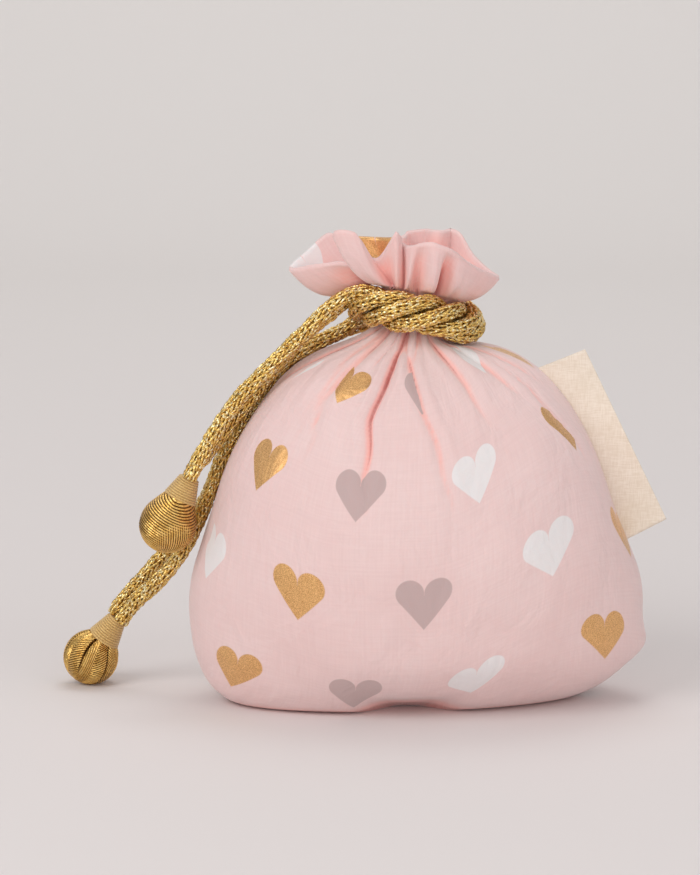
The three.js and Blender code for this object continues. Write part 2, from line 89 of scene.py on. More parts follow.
# pair and twin place a strand in the twisted rope; joins and leaves are bearings on the neck
STRANDS = [
    {
        "name": "cord_upper_front", "pair": 1, "twin": -1, "joins": 4, "leaves": -135, "end": "upper",
        "free": [
            (-0.0129, -0.0072, 0.1282), (-0.0170, -0.0064, 0.1284), (-0.0214, -0.0068, 0.1272),
            (-0.0257, -0.0076, 0.1244), (-0.0300, -0.0081, 0.1206), (-0.0346, -0.0081, 0.1158),
            (-0.0398, -0.0076, 0.1108), (-0.0452, -0.0072, 0.1052), (-0.0510, -0.0068, 0.0994),
            (-0.0562, -0.0068, 0.0934), (-0.0606, -0.0070, 0.0870), (-0.0644, -0.0073, 0.0808),
            (-0.0673, -0.0075, 0.0758), (-0.0686, -0.0075, 0.0730), (-0.0698, -0.0075, 0.0706),
        ],
    },
    {
        "name": "cord_upper_back", "pair": 1, "twin": 1, "joins": 4, "leaves": -165, "end": "upper",
        "free": [
            (-0.0164, -0.0016, 0.1270), (-0.0209, -0.0016, 0.1257), (-0.0252, -0.0024, 0.1224),
            (-0.0296, -0.0030, 0.1190), (-0.0340, -0.0028, 0.1152), (-0.0380, -0.0024, 0.1108),
            (-0.0416, -0.0022, 0.1068), (-0.0452, -0.0022, 0.1029), (-0.0496, -0.0018, 0.0970),
            (-0.0543, -0.0018, 0.0911), (-0.0590, -0.0020, 0.0849), (-0.0635, -0.0023, 0.0790),
            (-0.0674, -0.0025, 0.0744), (-0.0698, -0.0025, 0.0706),
        ],
    },
    {
        "name": "cord_lower_front", "pair": 0, "twin": -1, "joins": -184, "leaves": 120, "end": "lower",
        "free": [
            (-0.0106, 0.0087, 0.1224), (-0.0170, 0.0089, 0.1184), (-0.0240, 0.0084, 0.1140),
            (-0.0302, 0.0064, 0.1114), (-0.0364, 0.0048, 0.1082), (-0.0417, 0.0038, 0.1042),
            (-0.0463, 0.0034, 0.0986), (-0.0514, 0.0032, 0.0915), (-0.0559, 0.0032, 0.0836),
            (-0.0599, 0.0034, 0.0752), (-0.0633, 0.0038, 0.0664), (-0.0668, 0.0044, 0.0574),
            (-0.0708, 0.0054, 0.0486), (-0.0760, 0.0072, 0.0406), (-0.0820, 0.0098, 0.0336),
            (-0.0878, 0.0132, 0.0278), (-0.0912, 0.0153, 0.0234), (-0.0931, 0.0156, 0.0205),
        ],
    },
    {
        "name": "cord_lower_back", "pair": 0, "twin": 1, "joins": -184, "leaves": 120, "end": "lower",
        "free": [
            (-0.0120, 0.0150, 0.1176), (-0.0182, 0.0150, 0.1152), (-0.0248, 0.0138, 0.1130),
            (-0.0310, 0.0116, 0.1102), (-0.0370, 0.0098, 0.1068), (-0.0421, 0.0088, 0.1022),
            (-0.0467, 0.0084, 0.0966), (-0.0519, 0.0082, 0.0894), (-0.0565, 0.0082, 0.0816),
            (-0.0605, 0.0084, 0.0732), (-0.0639, 0.0088, 0.0646), (-0.0682, 0.0098, 0.0564),
            (-0.0740, 0.0116, 0.0488), (-0.0802, 0.0140, 0.0414), (-0.0866, 0.0166, 0.0340),
            (-0.0914, 0.0184, 0.0282), (-0.0936, 0.0191, 0.0250), (-0.0953, 0.0194, 0.0223),
        ],
    },
]


def smooth_route(points, steps, closed=False):
    """Points along a smooth line through the given ones, evenly stepped between each two."""
    points = np.asarray(points, float)
    count = len(points)
    if closed:
        index = np.arange(count * steps)
        take = lambda i: points[i % count]
    else:
        index = np.arange((count - 1) * steps + 1)
        padded = np.vstack([2 * points[0] - points[1], points, 2 * points[-1] - points[-2], points[-1:]])
        take = lambda i: padded[np.minimum(i + 1, count + 2)]
    i = index // steps
    t = ((index % steps) / steps)[:, None]
    a, b, c, d = take(i - 1), take(i), take(i + 1), take(i + 2)
    return 0.5 * (
        2 * b + (c - a) * t + (2 * a - 5 * b + 4 * c - d) * t**2 + (3 * b - a - 3 * c + d) * t**3
    )


def polar_point(radius, bearing, height):
    turn = math.radians(bearing)
    return (radius * math.cos(turn), radius * math.sin(turn), height)


def wrap_drop(bearing):
    """How far the rope is lower at a bearing than at the middle of the front."""
    across = np.cos(np.radians(bearing))
    return WRAP_RADIUS * across * WRAP_SLOPE + WRAP_DIP * np.maximum(0, across) ** 2


def wrap_point(strand, bearing):
    """Where a strand of the twisted rope is at a bearing."""
    roll = WRAP_TWIST * (bearing - WRAP_PHASE) + 180 * strand["pair"] + 45 * strand["twin"]
    roll = math.radians(roll)
    height = NECK_HEIGHT + WRAP_PLY * math.sin(roll) - wrap_drop(bearing)
    return polar_point(WRAP_RADIUS + WRAP_PLY * math.cos(roll), bearing, height)


def strand_route(strand):
    """A strand's way out of the casing, round the neck in the rope and down to its collar."""
    joins, leaves = strand["joins"], strand["leaves"]
    back = math.copysign(WRAP_STEP, joins - leaves)
    x, y, height = wrap_point(strand, joins)
    reach = max(math.hypot(x, y) - ENTRY_INSET, ENTRY_NEAREST)
    entry = polar_point(reach, joins + back, height)
    casing = polar_point(CASING_RADIUS, joins + 2 * back, height)
    turns = math.ceil(abs(leaves - joins) / WRAP_STEP)
    wrap = [wrap_point(strand, joins + (leaves - joins) * i / turns) for i in range(turns + 1)]
    return smooth_route([casing, entry, *wrap, *strand["free"]], ROUTE_STEPS)


class Term:
    """A node socket that takes part in sums and feeds other nodes."""

    def __init__(self, tree, socket=None):
        self.tree = tree
        self.socket = socket

    def node(self, kind, settings=(), inputs=(), out=0):
        made = self.tree.nodes.new(kind)
        for key, value in dict(settings).items():
            setattr(made, key, value)
        for key, value in dict(inputs).items():
            if isinstance(value, Term):
                self.tree.links.new(value.socket, made.inputs[key])
            else:
                made.inputs[key].default_value = value
        return Term(self.tree, made.outputs[out])

    def math(self, operation, *values):
        return self.node("ShaderNodeMath", {"operation": operation}, dict(enumerate(values)))

    def vector(self, operation, *values):
        return self.node("ShaderNodeVectorMath", {"operation": operation}, dict(enumerate(values)))

    def scaled(self, vector, factor):
        return self.node("ShaderNodeVectorMath", {"operation": "SCALE"}, {0: vector, 3: factor})

    def noise(self, place, scale, detail, distortion=0.0):
        inputs = {"Vector": place, "Scale": scale, "Detail": detail, "Distortion": distortion}
        return self.node("ShaderNodeTexNoise", {}, inputs)

    def attribute(self, name):
        return self.node("ShaderNodeAttribute", {"attribute_name": name}, out="Fac")

    def output(self, name):
        return Term(self.tree, self.socket.node.outputs[name])

    def __add__(self, other):
        return self.math("ADD", self, other)

    def __radd__(self, other):
        return self.math("ADD", other, self)

    def __sub__(self, other):
        return self.math("SUBTRACT", self, other)

    def __rsub__(self, other):
        return self.math("SUBTRACT", other, self)

    def __mul__(self, other):
        return self.math("MULTIPLY", self, other)

    def __rmul__(self, other):
        return self.math("MULTIPLY", other, self)

    def __truediv__(self, other):
        return self.math("DIVIDE", self, other)

    def __rtruediv__(self, other):
        return self.math("DIVIDE", other, self)

    def __pow__(self, other):
        return self.math("POWER", self, other)

    def __neg__(self):
        return self.math("MULTIPLY", self, -1.0)

    def __abs__(self):
        return self.math("ABSOLUTE", self)

    def floor(self):
        return self.math("FLOOR", self)

    def wrap(self, span):
        return self.math("FLOORED_MODULO", self, span)

    def sine(self):
        return self.math("SINE", self)

    def ramp(self, low, high, start=0.0, end=1.0):
        """start below low, end above high, and an eased step between."""
        settings = {"interpolation_type": "SMOOTHSTEP"}
        return self.node("ShaderNodeMapRange", settings, {0: self, 1: low, 2: high, 3: start, 4: end})

    def mix(self, first, second):
        """A colour that goes from first to second as this goes from 0 to 1."""
        inputs = {0: self, 6: colour(first), 7: colour(second)}
        return self.node("ShaderNodeMix", {"data_type": "RGBA"}, inputs, out=2)


def colour(value):
    return value if isinstance(value, Term) else (*value, 1.0)


def new_material(name):
    """A node material, the start of its sums and the shader that it shows."""
    material = bpy.data.materials.new(name)
    material.use_nodes = True
    start = Term(material.node_tree)
    shader = next(node for node in material.node_tree.nodes if node.type == "BSDF_PRINCIPLED")
    return material, start, shader


def feed(start, shader, **inputs):
    """Sets or links the shader's sockets, named with underscores for spaces."""
    for name, value in inputs.items():
        socket = shader.inputs[name.replace("_", " ")]
        if isinstance(value, Term):
            start.tree.links.new(value.socket, socket)
        else:
            socket.default_value = value


def facets(start, place, scale):
    """A colour for each tiny facet of metallic yarn."""
    return start.node("ShaderNodeTexVoronoi", {}, {"Vector": place, "Scale": scale}, out="Color")


def glitter(start, place, scale, strength):
    """A normal that differs from one tiny facet to the next, as on metallic yarn."""
    tilt = start.vector("SUBTRACT", facets(start, place, scale), (0.5, 0.5, 0.5))
    smooth = start.node("ShaderNodeNewGeometry", out="Normal")
    return start.vector("NORMALIZE", start.vector("ADD", smooth, start.scaled(tilt, strength)))


def gold_knit_material():
    material, start, shader = new_material("gold_knit")
    place = start.node("ShaderNodeTexCoord", out="Object")
    patch = start.noise(place, 900.0, 3.0)
    # painted glints: scattered facets of the yarn are coloured near white, as sparkle
    glint_facet = start.node("ShaderNodeSeparateColor", {}, {0: facets(start, place, PAINTED_GLINT_SCALE)})
    tone = patch.ramp(0.32, 0.62).mix(CORD_DARK, CORD_COLOUR)
    feed(
        start,
        shader,
        Base_Color=glint_facet.ramp(0.62, 0.95).mix(tone, CORD_PAINTED_GLINT),
        Metallic=0.92,
        Roughness=patch.ramp(0.2, 0.8, 0.22, 0.42),
        Normal=glitter(start, place, GLINT_SCALE, 0.7),
    )
    return material


def new_tree(name, sockets):
    """A geometry tree with named inputs after its geometry, and the start of its sums."""
    tree = bpy.data.node_groups.new(name, "GeometryNodeTree")
    tree.interface.new_socket("Geometry", in_out="INPUT", socket_type="NodeSocketGeometry")
    for label, kind in sockets:
        tree.interface.new_socket(label, in_out="INPUT", socket_type=kind)
    tree.interface.new_socket("Geometry", in_out="OUTPUT", socket_type="NodeSocketGeometry")
    entry = Term(tree).node("NodeGroupInput")
    return tree, entry


def close_tree(tree, made, material):
    """Ends a tree with its instances realized, smooth shading and its material set."""
    start = Term(tree)
    real = start.node("GeometryNodeRealizeInstances", {}, {0: made})
    smooth = start.node("GeometryNodeSetShadeSmooth", {}, {0: real})
    dressed = start.node("GeometryNodeSetMaterial", {}, {"Geometry": smooth, "Material": material})
    tree.links.new(dressed.socket, tree.nodes.new("NodeGroupOutput").inputs[0])


def run_tree(tree, host_mesh, values, name):
    """The plain mesh object that a tree makes from a host mesh with these named inputs."""
    host = bpy.data.objects.new(name + "_host", host_mesh)
    bpy.context.scene.collection.objects.link(host)
    modifier = host.modifiers.new("nodes", "NODES")
    modifier.node_group = tree
    for item in tree.interface.items_tree:
        if item.in_out == "INPUT" and item.name in values:
            modifier[item.identifier] = values[item.name]
    graph = bpy.context.evaluated_depsgraph_get()
    mesh = bpy.data.meshes.new_from_object(host.evaluated_get(graph))
    mesh.name = name
    host.modifiers.remove(modifier)
    bpy.data.objects.remove(host)
    piece = bpy.data.objects.new(name, mesh)
    bpy.context.scene.collection.objects.link(piece)
    return piece


def line_mesh(name, points):
    mesh = bpy.data.meshes.new(name)
    mesh.from_pydata([tuple(p) for p in points], [(i, i + 1) for i in range(len(points) - 1)], [])
    return mesh


def joined(first, second):
    """Two geometries as one."""
    both = first.node("GeometryNodeJoinGeometry", {}, {0: first})
    first.tree.links.new(second.socket, both.socket.node.inputs[0])
    return both


def bend_along(start, made, path):
    """Bends a shape made along X so that X follows a path."""
    place = start.node("ShaderNodeSeparateXYZ", {}, {0: start.node("GeometryNodeInputPosition")})
    sample = start.node(
        "GeometryNodeSampleCurve", {"mode": "LENGTH"}, {"Curves": path, "Length": place}, out="Position"
    )
    normal = sample.output("Normal")
    side = start.vector("CROSS_PRODUCT", sample.output("Tangent"), normal)
    along_normal = start.scaled(normal, place.output("Y"))
    along_side = start.scaled(side, place.output("Z"))
    moved = start.vector("ADD", start.vector("ADD", sample, along_normal), along_side)
    return start.node("GeometryNodeSetPosition", {}, {"Geometry": made, "Position": moved})


def knit_tree(material):
    """Rows of V stitches round a core, made straight and then bent along the route."""
    sockets = [
        ("Wales", "NodeSocketInt"),
        ("Pitch", "NodeSocketFloat"),
        ("Radius", "NodeSocketFloat"),
        ("Yarn", "NodeSocketFloat"),
        ("Seed", "NodeSocketInt"),
    ]
    tree, entry = new_tree("round_knit", sockets)
    start = Term(tree)
    wales, pitch = entry.output("Wales"), entry.output("Pitch")
    radius, yarn = entry.output("Radius"), entry.output("Yarn")
    path = start.node("GeometryNodeMeshToCurve", {}, {0: entry})
    length = start.node("GeometryNodeCurveLength", {}, {0: path})
    rows = (length / pitch).floor()
    index = start.node("GeometryNodeInputIndex")
    row = (index / wales + 1e-4).floor()
    wale = index - row * wales
    turn = wale * (2 * math.pi) / wales + row * KNIT_TWIST
    middle = radius - yarn * 1.1
    along = (row + 0.35) * pitch
    place = start.node(
        "ShaderNodeCombineXYZ",
        {},
        {0: along, 1: -(turn.sine() * middle), 2: start.math("COSINE", turn) * middle},
    )
    dots = start.node("GeometryNodePoints", {}, {"Count": rows * wales, "Position": place})
    half = start.math("SINE", math.pi / wales) * middle
    # along the cord in pitches, across in half wales and outwards in yarn radii
    leg_points = {
        "Start": (-0.45, 0.10, -0.75),
        "Start Handle": (0.05, 0.35, 0.75),
        "End Handle": (0.75, 1.05, 0.75),
        "End": (1.15, 0.80, -0.85),
    }
    legs = {}
    for label, (x, y, z) in leg_points.items():
        legs[label] = start.node("ShaderNodeCombineXYZ", {}, {0: pitch * x, 1: half * y, 2: yarn * z})
    bow = start.node("GeometryNodeCurvePrimitiveBezierSegment", {}, {"Resolution": 5, **legs})
    ring = start.node("GeometryNodeCurvePrimitiveCircle", {}, {"Resolution": 5, "Radius": yarn})
    leg = start.node(
        "GeometryNodeCurveToMesh", {}, {"Curve": bow, "Profile Curve": ring, "Fill Caps": True}
    )
    mirrored = start.node("GeometryNodeTransform", {}, {"Geometry": leg, "Scale": (1.0, -1.0, 1.0)})
    mirrored = start.node("GeometryNodeFlipFaces", {}, {0: mirrored})
    stitch = joined(leg, mirrored)
    jitter = start.node(
        "FunctionNodeRandomValue",
        {"data_type": "FLOAT_VECTOR"},
        {0: tuple(-turn for turn in KNIT_JITTER), 1: KNIT_JITTER, "Seed": entry.output("Seed")},
    )
    spin = start.vector("ADD", start.node("ShaderNodeCombineXYZ", {}, {0: turn}), jitter)
    stitches = start.node(
        "GeometryNodeInstanceOnPoints", {}, {"Points": dots, "Instance": stitch, "Rotation": spin}
    )
    stitches = start.node("GeometryNodeRealizeInstances", {}, {0: stitches})
    bent = bend_along(start, stitches, path)
    core_ring = start.node(
        "GeometryNodeCurvePrimitiveCircle", {}, {"Resolution": 10, "Radius": radius * KNIT_CORE_SHARE}
    )
    core = start.node(
        "GeometryNodeCurveToMesh", {}, {"Curve": path, "Profile Curve": core_ring, "Fill Caps": True}
    )
    close_tree(tree, joined(bent, core), material)
    return tree


gold_knit = gold_knit_material()
round_knit = knit_tree(gold_knit)
for number, strand in enumerate(STRANDS):
    route = strand_route(strand)
    knit_inputs = {
        "Wales": KNIT_WALES,
        "Pitch": KNIT_PITCH,
        "Radius": CORD_DIAMETER / 2,
        "Yarn": KNIT_YARN_RADIUS,
        "Seed": number,
    }
    path = line_mesh(strand["name"] + "_route", route)
    cord = run_tree(round_knit, path, knit_inputs, strand["name"] + "_knit")
    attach(cord, "root")
    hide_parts(strand["name"])

# Pouch: one bag of thin printed cotton, sewn up at both sides, gathered to a narrow neck by its casing
# and flaring above it in a doubled ruffle. Hearts are printed on it in gold foil, grey and white.
MM = 0.001
POUCH_WIDTH = 141
POUCH_DEPTH = 92
NECK_MM = round(NECK_HEIGHT / MM)
TURN_OUT = 7.0
TURN_OUT_END = 75
CLOTH = 0.8
RIM_CLOTH = 1.5
BOTTOM_CLOTH = 0.05
# up, across, deep: shares of the neck height and of half the width and depth.
# lift, tuck: shares of the arch under the front edge. drop: share of the rope's drop to the right.
SECTIONS = [
    (0.000, 0.735, 0.430, 0.00, 1.00, 0.00),
    (0.013, 0.800, 0.540, 1.00, 0.20, 0.00),
    (0.042, 0.878, 0.650, 0.70, 0.00, 0.00),
    (0.085, 0.940, 0.765, 0.30, 0.00, 0.00),
    (0.145, 0.986, 0.865, 0.00, 0.00, 0.00),
    (0.230, 1.000, 0.935, 0.00, 0.00, 0.00),
    (0.320, 0.985, 0.980, 0.00, 0.00, 0.00),
    (0.410, 0.940, 1.000, 0.00, 0.00, 0.00),
    (0.500, 0.885, 0.985, 0.00, 0.00, 0.00),
    (0.590, 0.830, 0.935, 0.00, 0.00, 0.00),
    (0.670, 0.770, 0.855, 0.00, 0.00, 0.00),
    (0.740, 0.700, 0.755, 0.00, 0.00, 0.00),
    (0.800, 0.620, 0.645, 0.00, 0.00, 0.00),
    (0.850, 0.530, 0.525, 0.00, 0.00, 0.00),
    (0.888, 0.415, 0.415, 0.00, 0.00, 0.00),
    (0.914, 0.295, 0.325, 0.00, 0.00, 0.15),
    (0.936, 0.195, 0.255, 0.00, 0.00, 0.70),
    (0.962, 0.135, 0.206, 0.00, 0.00, 1.00),
    (1.000, 0.132, 0.202, 0.00, 0.00, 1.00),
]
# The ruffle's folds, from the left tip round the front: bearing at the neck, where the fold meets
# the rim, how far it sags on the way, how late it turns outwards and how far its foot is drawn in
RIM = {
    "left tip": (-180, -39.0, 3.0, 134.0, 6.0, 0.85, 0.5),
    "front lip": (-171, -31.0, -5.0, 136.0, 3.0, 0.85, 1.0),
    "front lip end": (-163, -24.5, -8.0, 137.0, 0.0, 0.85, 3.6),
    "strap valley": (-156, -19.5, -9.0, 137.6, 1.4, 0.95, 3.4),
    "strap left": (-150, -25.5, -15.0, 146.6, 1.4, 0.70, 0.0),
    "strap right": (-126, -18.0, -17.0, 146.8, 0.0, 0.62, -0.6),
    "notch": (-121, -12.0, -12.0, 138.6, 0.0, 0.90, 3.4),
    "narrow fold": (-117, -7.0, -18.0, 146.8, 0.0, 0.62, 0.6),
    "narrow fold right": (-113, -4.6, -16.5, 146.4, 0.0, 0.62, 1.2),
    "crease": (-110, -4.2, -14.0, 143.2, 0.0, 0.75, 2.6),
    "lobe left": (-104, -1.8, -19.0, 143.4, 0.0, 0.55, 0.0),
    "dimple": (-92, 1.2, -21.8, 144.2, 0.0, 1.25, 2.6),
    "lobe": (-80, 4.6, -23.2, 144.6, 0.0, 0.50, -0.4),
    "lobe right": (-69, 8.0, -22.4, 143.4, 0.0, 0.55, 0.4),
    "lobe crease": (-62, 10.4, -21.0, 142.0, 0.0, 1.50, 4.4),
    "right lip": (-54, 13.2, -18.8, 140.2, 0.0, 0.60, 0.0),
    "right lip middle": (-40, 16.6, -15.2, 137.4, 0.0, 0.60, -0.4),
    "right lip end": (-24, 21.0, -9.0, 134.4, 0.5, 0.65, 0.4),
    "right tip": (-4, 25.8, -0.5, 131.8, 1.0, 0.75, 0.0),
    "rear lip end": (13, 22.5, 7.0, 133.6, 0.5, 0.60, 1.0),
    "rear lip": (28, 18.0, 12.0, 137.6, 0.0, 0.60, 2.5),
    "rear right corner": (44, 14.6, 16.5, 143.6, 0.0, 0.50, 0.0),
    "rear right lobe": (56, 11.0, 19.5, 144.8, 0.0, 0.50, 0.0),
    "rear right crease": (67, 7.2, 15.0, 144.6, 0.0, 0.80, 3.5),
    "rear lobe": (80, 3.8, 20.0, 144.6, 0.0, 0.50, 0.0),
    "rear lobe left": (92, -2.6, 18.5, 144.0, 0.0, 0.50, 0.5),
    "rear crease": (102, -5.0, 13.0, 142.8, 0.0, 0.80, 3.5),
    "rear middle": (115, -12.0, 17.0, 142.4, 0.0, 0.55, 0.0),
    "rear left": (131, -19.5, 17.0, 142.6, 0.0, 0.55, 0.5),
    "rear left crease": (142, -22.5, 12.5, 142.8, 0.0, 0.80, 3.5),
    "rear left corner": (152, -27.0, 12.5, 144.0, 0.0, 0.65, 0.0),
    "left rear lip": (168, -33.5, 8.5, 139.0, 4.5, 0.80, 1.0),
}
COLUMNS_PER_FOLD = 9
BEARING_BLUR = 13
BASE_RINGS = 7
BODY_STEPS = 6
NECK_RINGS = 5
RUFFLE_RINGS = 30
RUFFLE_RISE = 1.25
SAG_PEAK = 4.0
ARCH = {"bearing": -89, "spread": 31, "lift": 3, "tuck": 9}
BASE_SHIFT = {"across": -3.2, "turn": 0.1, "height": 25}
# Creases that run down from the neck: bearings and heights of the line, depth and width of the furrow
MIDDLE_FOLD = ((-108, -108, -112, -114, -112, -110), (121, 112, 104, 92, 80, 64), 3.2, 2.9)
GREY_FOLD = ((-103, -102, -96, -88, -79, -76), (121, 113, 107, 99, 80, 62), 1.9, 2.8)
GOLD_FOLD = ((-134, -136, -139, -140, -138, -137), (121, 112, 106, 98, 84, 70), 1.9, 3.4)
SEAM_FOLD = ((-32, -25, -19, -17), (114, 100, 88, 72), 1.2, 3.4)
CREASES = [
    MIDDLE_FOLD,
    GREY_FOLD,
    GOLD_FOLD,
    SEAM_FOLD,
    ((-88, -89, -91), (121, 114, 108), 2.8, 1.8),
    ((-85, -84, -81), (121, 114, 109), 1.8, 1.4),
    ((-118, -120, -125), (121, 113, 106), 2.2, 1.7),
    ((-146, -146, -145, -143), (121, 108, 94, 72), 1.4, 3.6),
    ((-160, -165, -171, -176), (121, 113, 106, 97), 2.4, 3.0),
    ((-72, -66, -58, -54), (121, 111, 102, 88), 1.8, 3.2),
    ((-54, -45, -36, -28), (121, 112, 105, 95), 2.2, 3.5),
    ((-36, -27, -18, -10), (121, 112, 106, 98), 1.6, 3.0),
    ((24, 22, 20, 19), (121, 110, 98, 76), 2.2, 5.5),
    ((52, 55, 58, 60), (121, 108, 94, 70), 2.6, 6.0),
    ((84, 82, 80, 79), (121, 110, 98, 80), 2.4, 5.0),
    ((108, 113, 116, 118), (121, 106, 90, 66), 2.8, 6.0),
    ((136, 138, 141, 143), (121, 110, 98, 78), 2.2, 5.0),
    ((160, 161, 163, 164), (121, 110, 100, 84), 2.0, 5.0),
]
CREASE_SWAY = 0.9
CREASE_EASE = {"from": 111, "over": 10, "share": 0.55}
# Soft lumps of the filled-out cloth: waves round the bag and up it, phase and height
LUMPS = [
    (3, 0.045, 0.3, 0.5),
    (5, -0.06, 1.9, 0.4),
    (8, 0.10, 4.1, 0.3),
    (2, 0.16, 2.6, 0.25),
    (11, -0.13, 0.9, 0.2),
]
# Creases in the ruffle: bearing at the neck, how far up they reach, depth and width in degrees
RUFFLE_CREASES = [
    (-137, 0.55, 1.0, 4.0),
    (-46, 0.40, 1.2, 4.0),
    (-14, 0.45, 1.2, 5.0),
    (34, 0.60, 1.6, 8.0),
    (122, 0.60, 1.6, 8.0),
]
# Small pleats that the casing draws up at the neck: how many, phase and depth
PLEATS = ((17, 0.4, 0.45), (31, 2.1, 0.4), (47, 4.4, 0.3))
PLEATS_FROM = 112
PLEATS_OVER = 9
# The lower end of the right side seam sticks out in a small corner
SEAM_CORNER = {"bearing": 0, "height": 17, "out": 3.0, "spread": 7, "reach": 6}
# Painted shade, a deeper coral as of light bounced between folds: depths of crease and pleat at which
# the cloth takes it fully, and how much of it the base's tucked edge, the ruffle and the neck under the
# rope take
SHADE_CREASE = 1.9
SHADE_PLEAT = 2.2
SHADE_TUCK = 1.5
RUFFLE_SHADE = {"all": 0.16, "crease": 5, "gather": 7, "foot": 0.3}
NECK_SHADE = 0.34
NECK_SHADE_FROM = 100
# How the print lies on the front in millimetres: its lift, how far it climbs towards each side, and how
# far its right-hand hearts are dragged round the bag
PRINT_LIFT = 6.5
PRINT_RISE_RIGHT = 45
PRINT_RISE_LEFT = 36
PRINT_RISE_SEAM = 9
PRINT_DRAG = 4.0
PRINT_DRAG_FROM = 30
PRINT_DRAG_SPAN = 32
PRINT_DRAG_HEIGHT = 87
PRINT_DRAG_REACH = 12
# By the neck, between two folds, a gold heart is drawn wider and lower about its middle
GOLD_MIDDLE = (-36.9, 142.6)
GOLD_SPREAD = (-0.28, 0.20)
GOLD_SPREAD_FROM = 88
GOLD_SPREAD_OVER = 10
# Folds that hide part of a heart: the crease, the side that it hides, how many degrees of it, and
# above what height
HIDING_FOLDS = [(GREY_FOLD, 1, 24, 88), (GOLD_FOLD, -1, 12, 88), (SEAM_FOLD, 1, 12, 74)]
FOLD_TURN = 6.0
BACK_TURN = (161, 330)
LEFT_SEAM = (-10.0, 8.0)
# A gold heart's place on the flat cloth that comes to the ruffle's rim, and where on the rim it comes
RUFFLE_GOLD = (80.06, 677.0)
RUFFLE_GOLD_ACROSS = -12.0
RUFFLE_GOLD_BEHIND = 8
RUFFLE_GOLD_INSET = 5
RUFFLE_PRINT_SCALE = 1.3
# The hearts' columns and staggered rows, and one heart's half width, tip and the slope of its sides
HEART_COLUMN = 39.0
HEART_ROW = 33.4
HEART_ROW_SHIFT = 0.54
HEART_HALF = 8.7
HEART_TIP = -0.82
HEART_SIDE = math.radians(41.5)
HEART_ORIGIN = (-19.0, 9.0)
# How fast the weft, the warp and the rumples change round the cloth and up it
WEFT = (0.07, 1.5, 1.0)
WARP = (1.5, 0.07, 1.0)
RUMPLE = (0.09, 0.06, 1.0)
PINK = (0.805, 0.580, 0.565)
# painted shade: the coral and the deep coral that creases, tucks and folds take
CREASE_SHADE_PINK = (0.95, 0.49, 0.44)
DEEP_SHADE_PINK = (0.66, 0.22, 0.19)
THREAD_PINK = (0.93, 0.72, 0.70)
CLOUD_PINK = (0.76, 0.47, 0.45)
GREY_INK = (0.54, 0.395, 0.385)
WHITE_INK = (0.82, 0.76, 0.76)
FOIL_DARK = (0.60, 0.30, 0.10)
FOIL_BRIGHT = (0.95, 0.58, 0.25)


def turn_between(a, b):
    return (a - b + 180) % 360 - 180


def furrow(distance, width):
    """Depth share of a crease with a sharp bottom and soft shoulders, by distance from its line."""
    near = np.abs(distance) / width
    return np.clip(1 - near, 0, None) ** 2 - 0.32 * np.exp(-((near - 1.6) ** 2) / 0.35)


def cloth_columns():
    """For each column of cloth: bearing at the neck, rim point, sag, lateness and draw, as in RIM."""
    rows = np.array(list(RIM.values()), float)
    count = len(rows)
    rim = smooth_route(rows[:, 1:], COLUMNS_PER_FOLD, closed=True)
    ends = np.append(rows[:, 0], rows[0, 0] + 360)
    place = np.arange(count * COLUMNS_PER_FOLD) / COLUMNS_PER_FOLD
    bearing = np.interp(place, np.arange(count + 1), ends)
    pad = BEARING_BLUR
    turned = np.concatenate([bearing[-pad:] - 360, bearing, bearing[:pad] + 360])
    kernel = np.hanning(BEARING_BLUR)
    bearing = np.convolve(turned, kernel / kernel.sum(), "same")[pad:-pad]
    return bearing, rim[:, :3], rim[:, 3], rim[:, 4], rim[:, 5]


def crease_line(crease, height):
    """Bearing of a crease at a height."""
    bearings, heights = crease[:2]
    sway = CREASE_SWAY * np.sin(height / 3 + bearings[0])
    return np.interp(-height, [-h for h in heights], bearings) + sway


def crease_depth(bearing, height, oval):
    """How deep the creases are round a ring of the body."""
    depth = np.zeros_like(oval)
    for crease in CREASES:
        _, heights, deepest, width = crease
        if height <= heights[-1]:
            continue
        line = crease_line(crease, height)
        share = np.clip((height - heights[-1]) / (heights[0] - heights[-1]), 0, 1)
        ease = CREASE_EASE["share"] * np.clip((height - CREASE_EASE["from"]) / CREASE_EASE["over"], 0, 1)
        grow = min(1, share * 1.5) ** 0.8 * (1 - ease)
        reach = np.radians(turn_between(bearing, line)) * oval
        depth += deepest * grow * furrow(reach, width * (0.6 + 0.4 * (1 - share)))
    return depth


def body_lumps(bearing, height, up):
    """How far the filled-out cloth and the corner at the seam stand out round a ring of the body."""
    lump = np.zeros_like(bearing)
    for waves, climb, phase, size in LUMPS:
        wave = np.sin(waves * np.radians(bearing) + climb * height + phase)
        lump += size * wave * math.sin(math.pi * min(1, up)) ** 0.7
    near = np.exp(-((turn_between(bearing, SEAM_CORNER["bearing"]) / SEAM_CORNER["spread"]) ** 2))
    level = math.exp(-(((height - SEAM_CORNER["height"]) / SEAM_CORNER["reach"]) ** 2))
    return lump + SEAM_CORNER["out"] * near * level


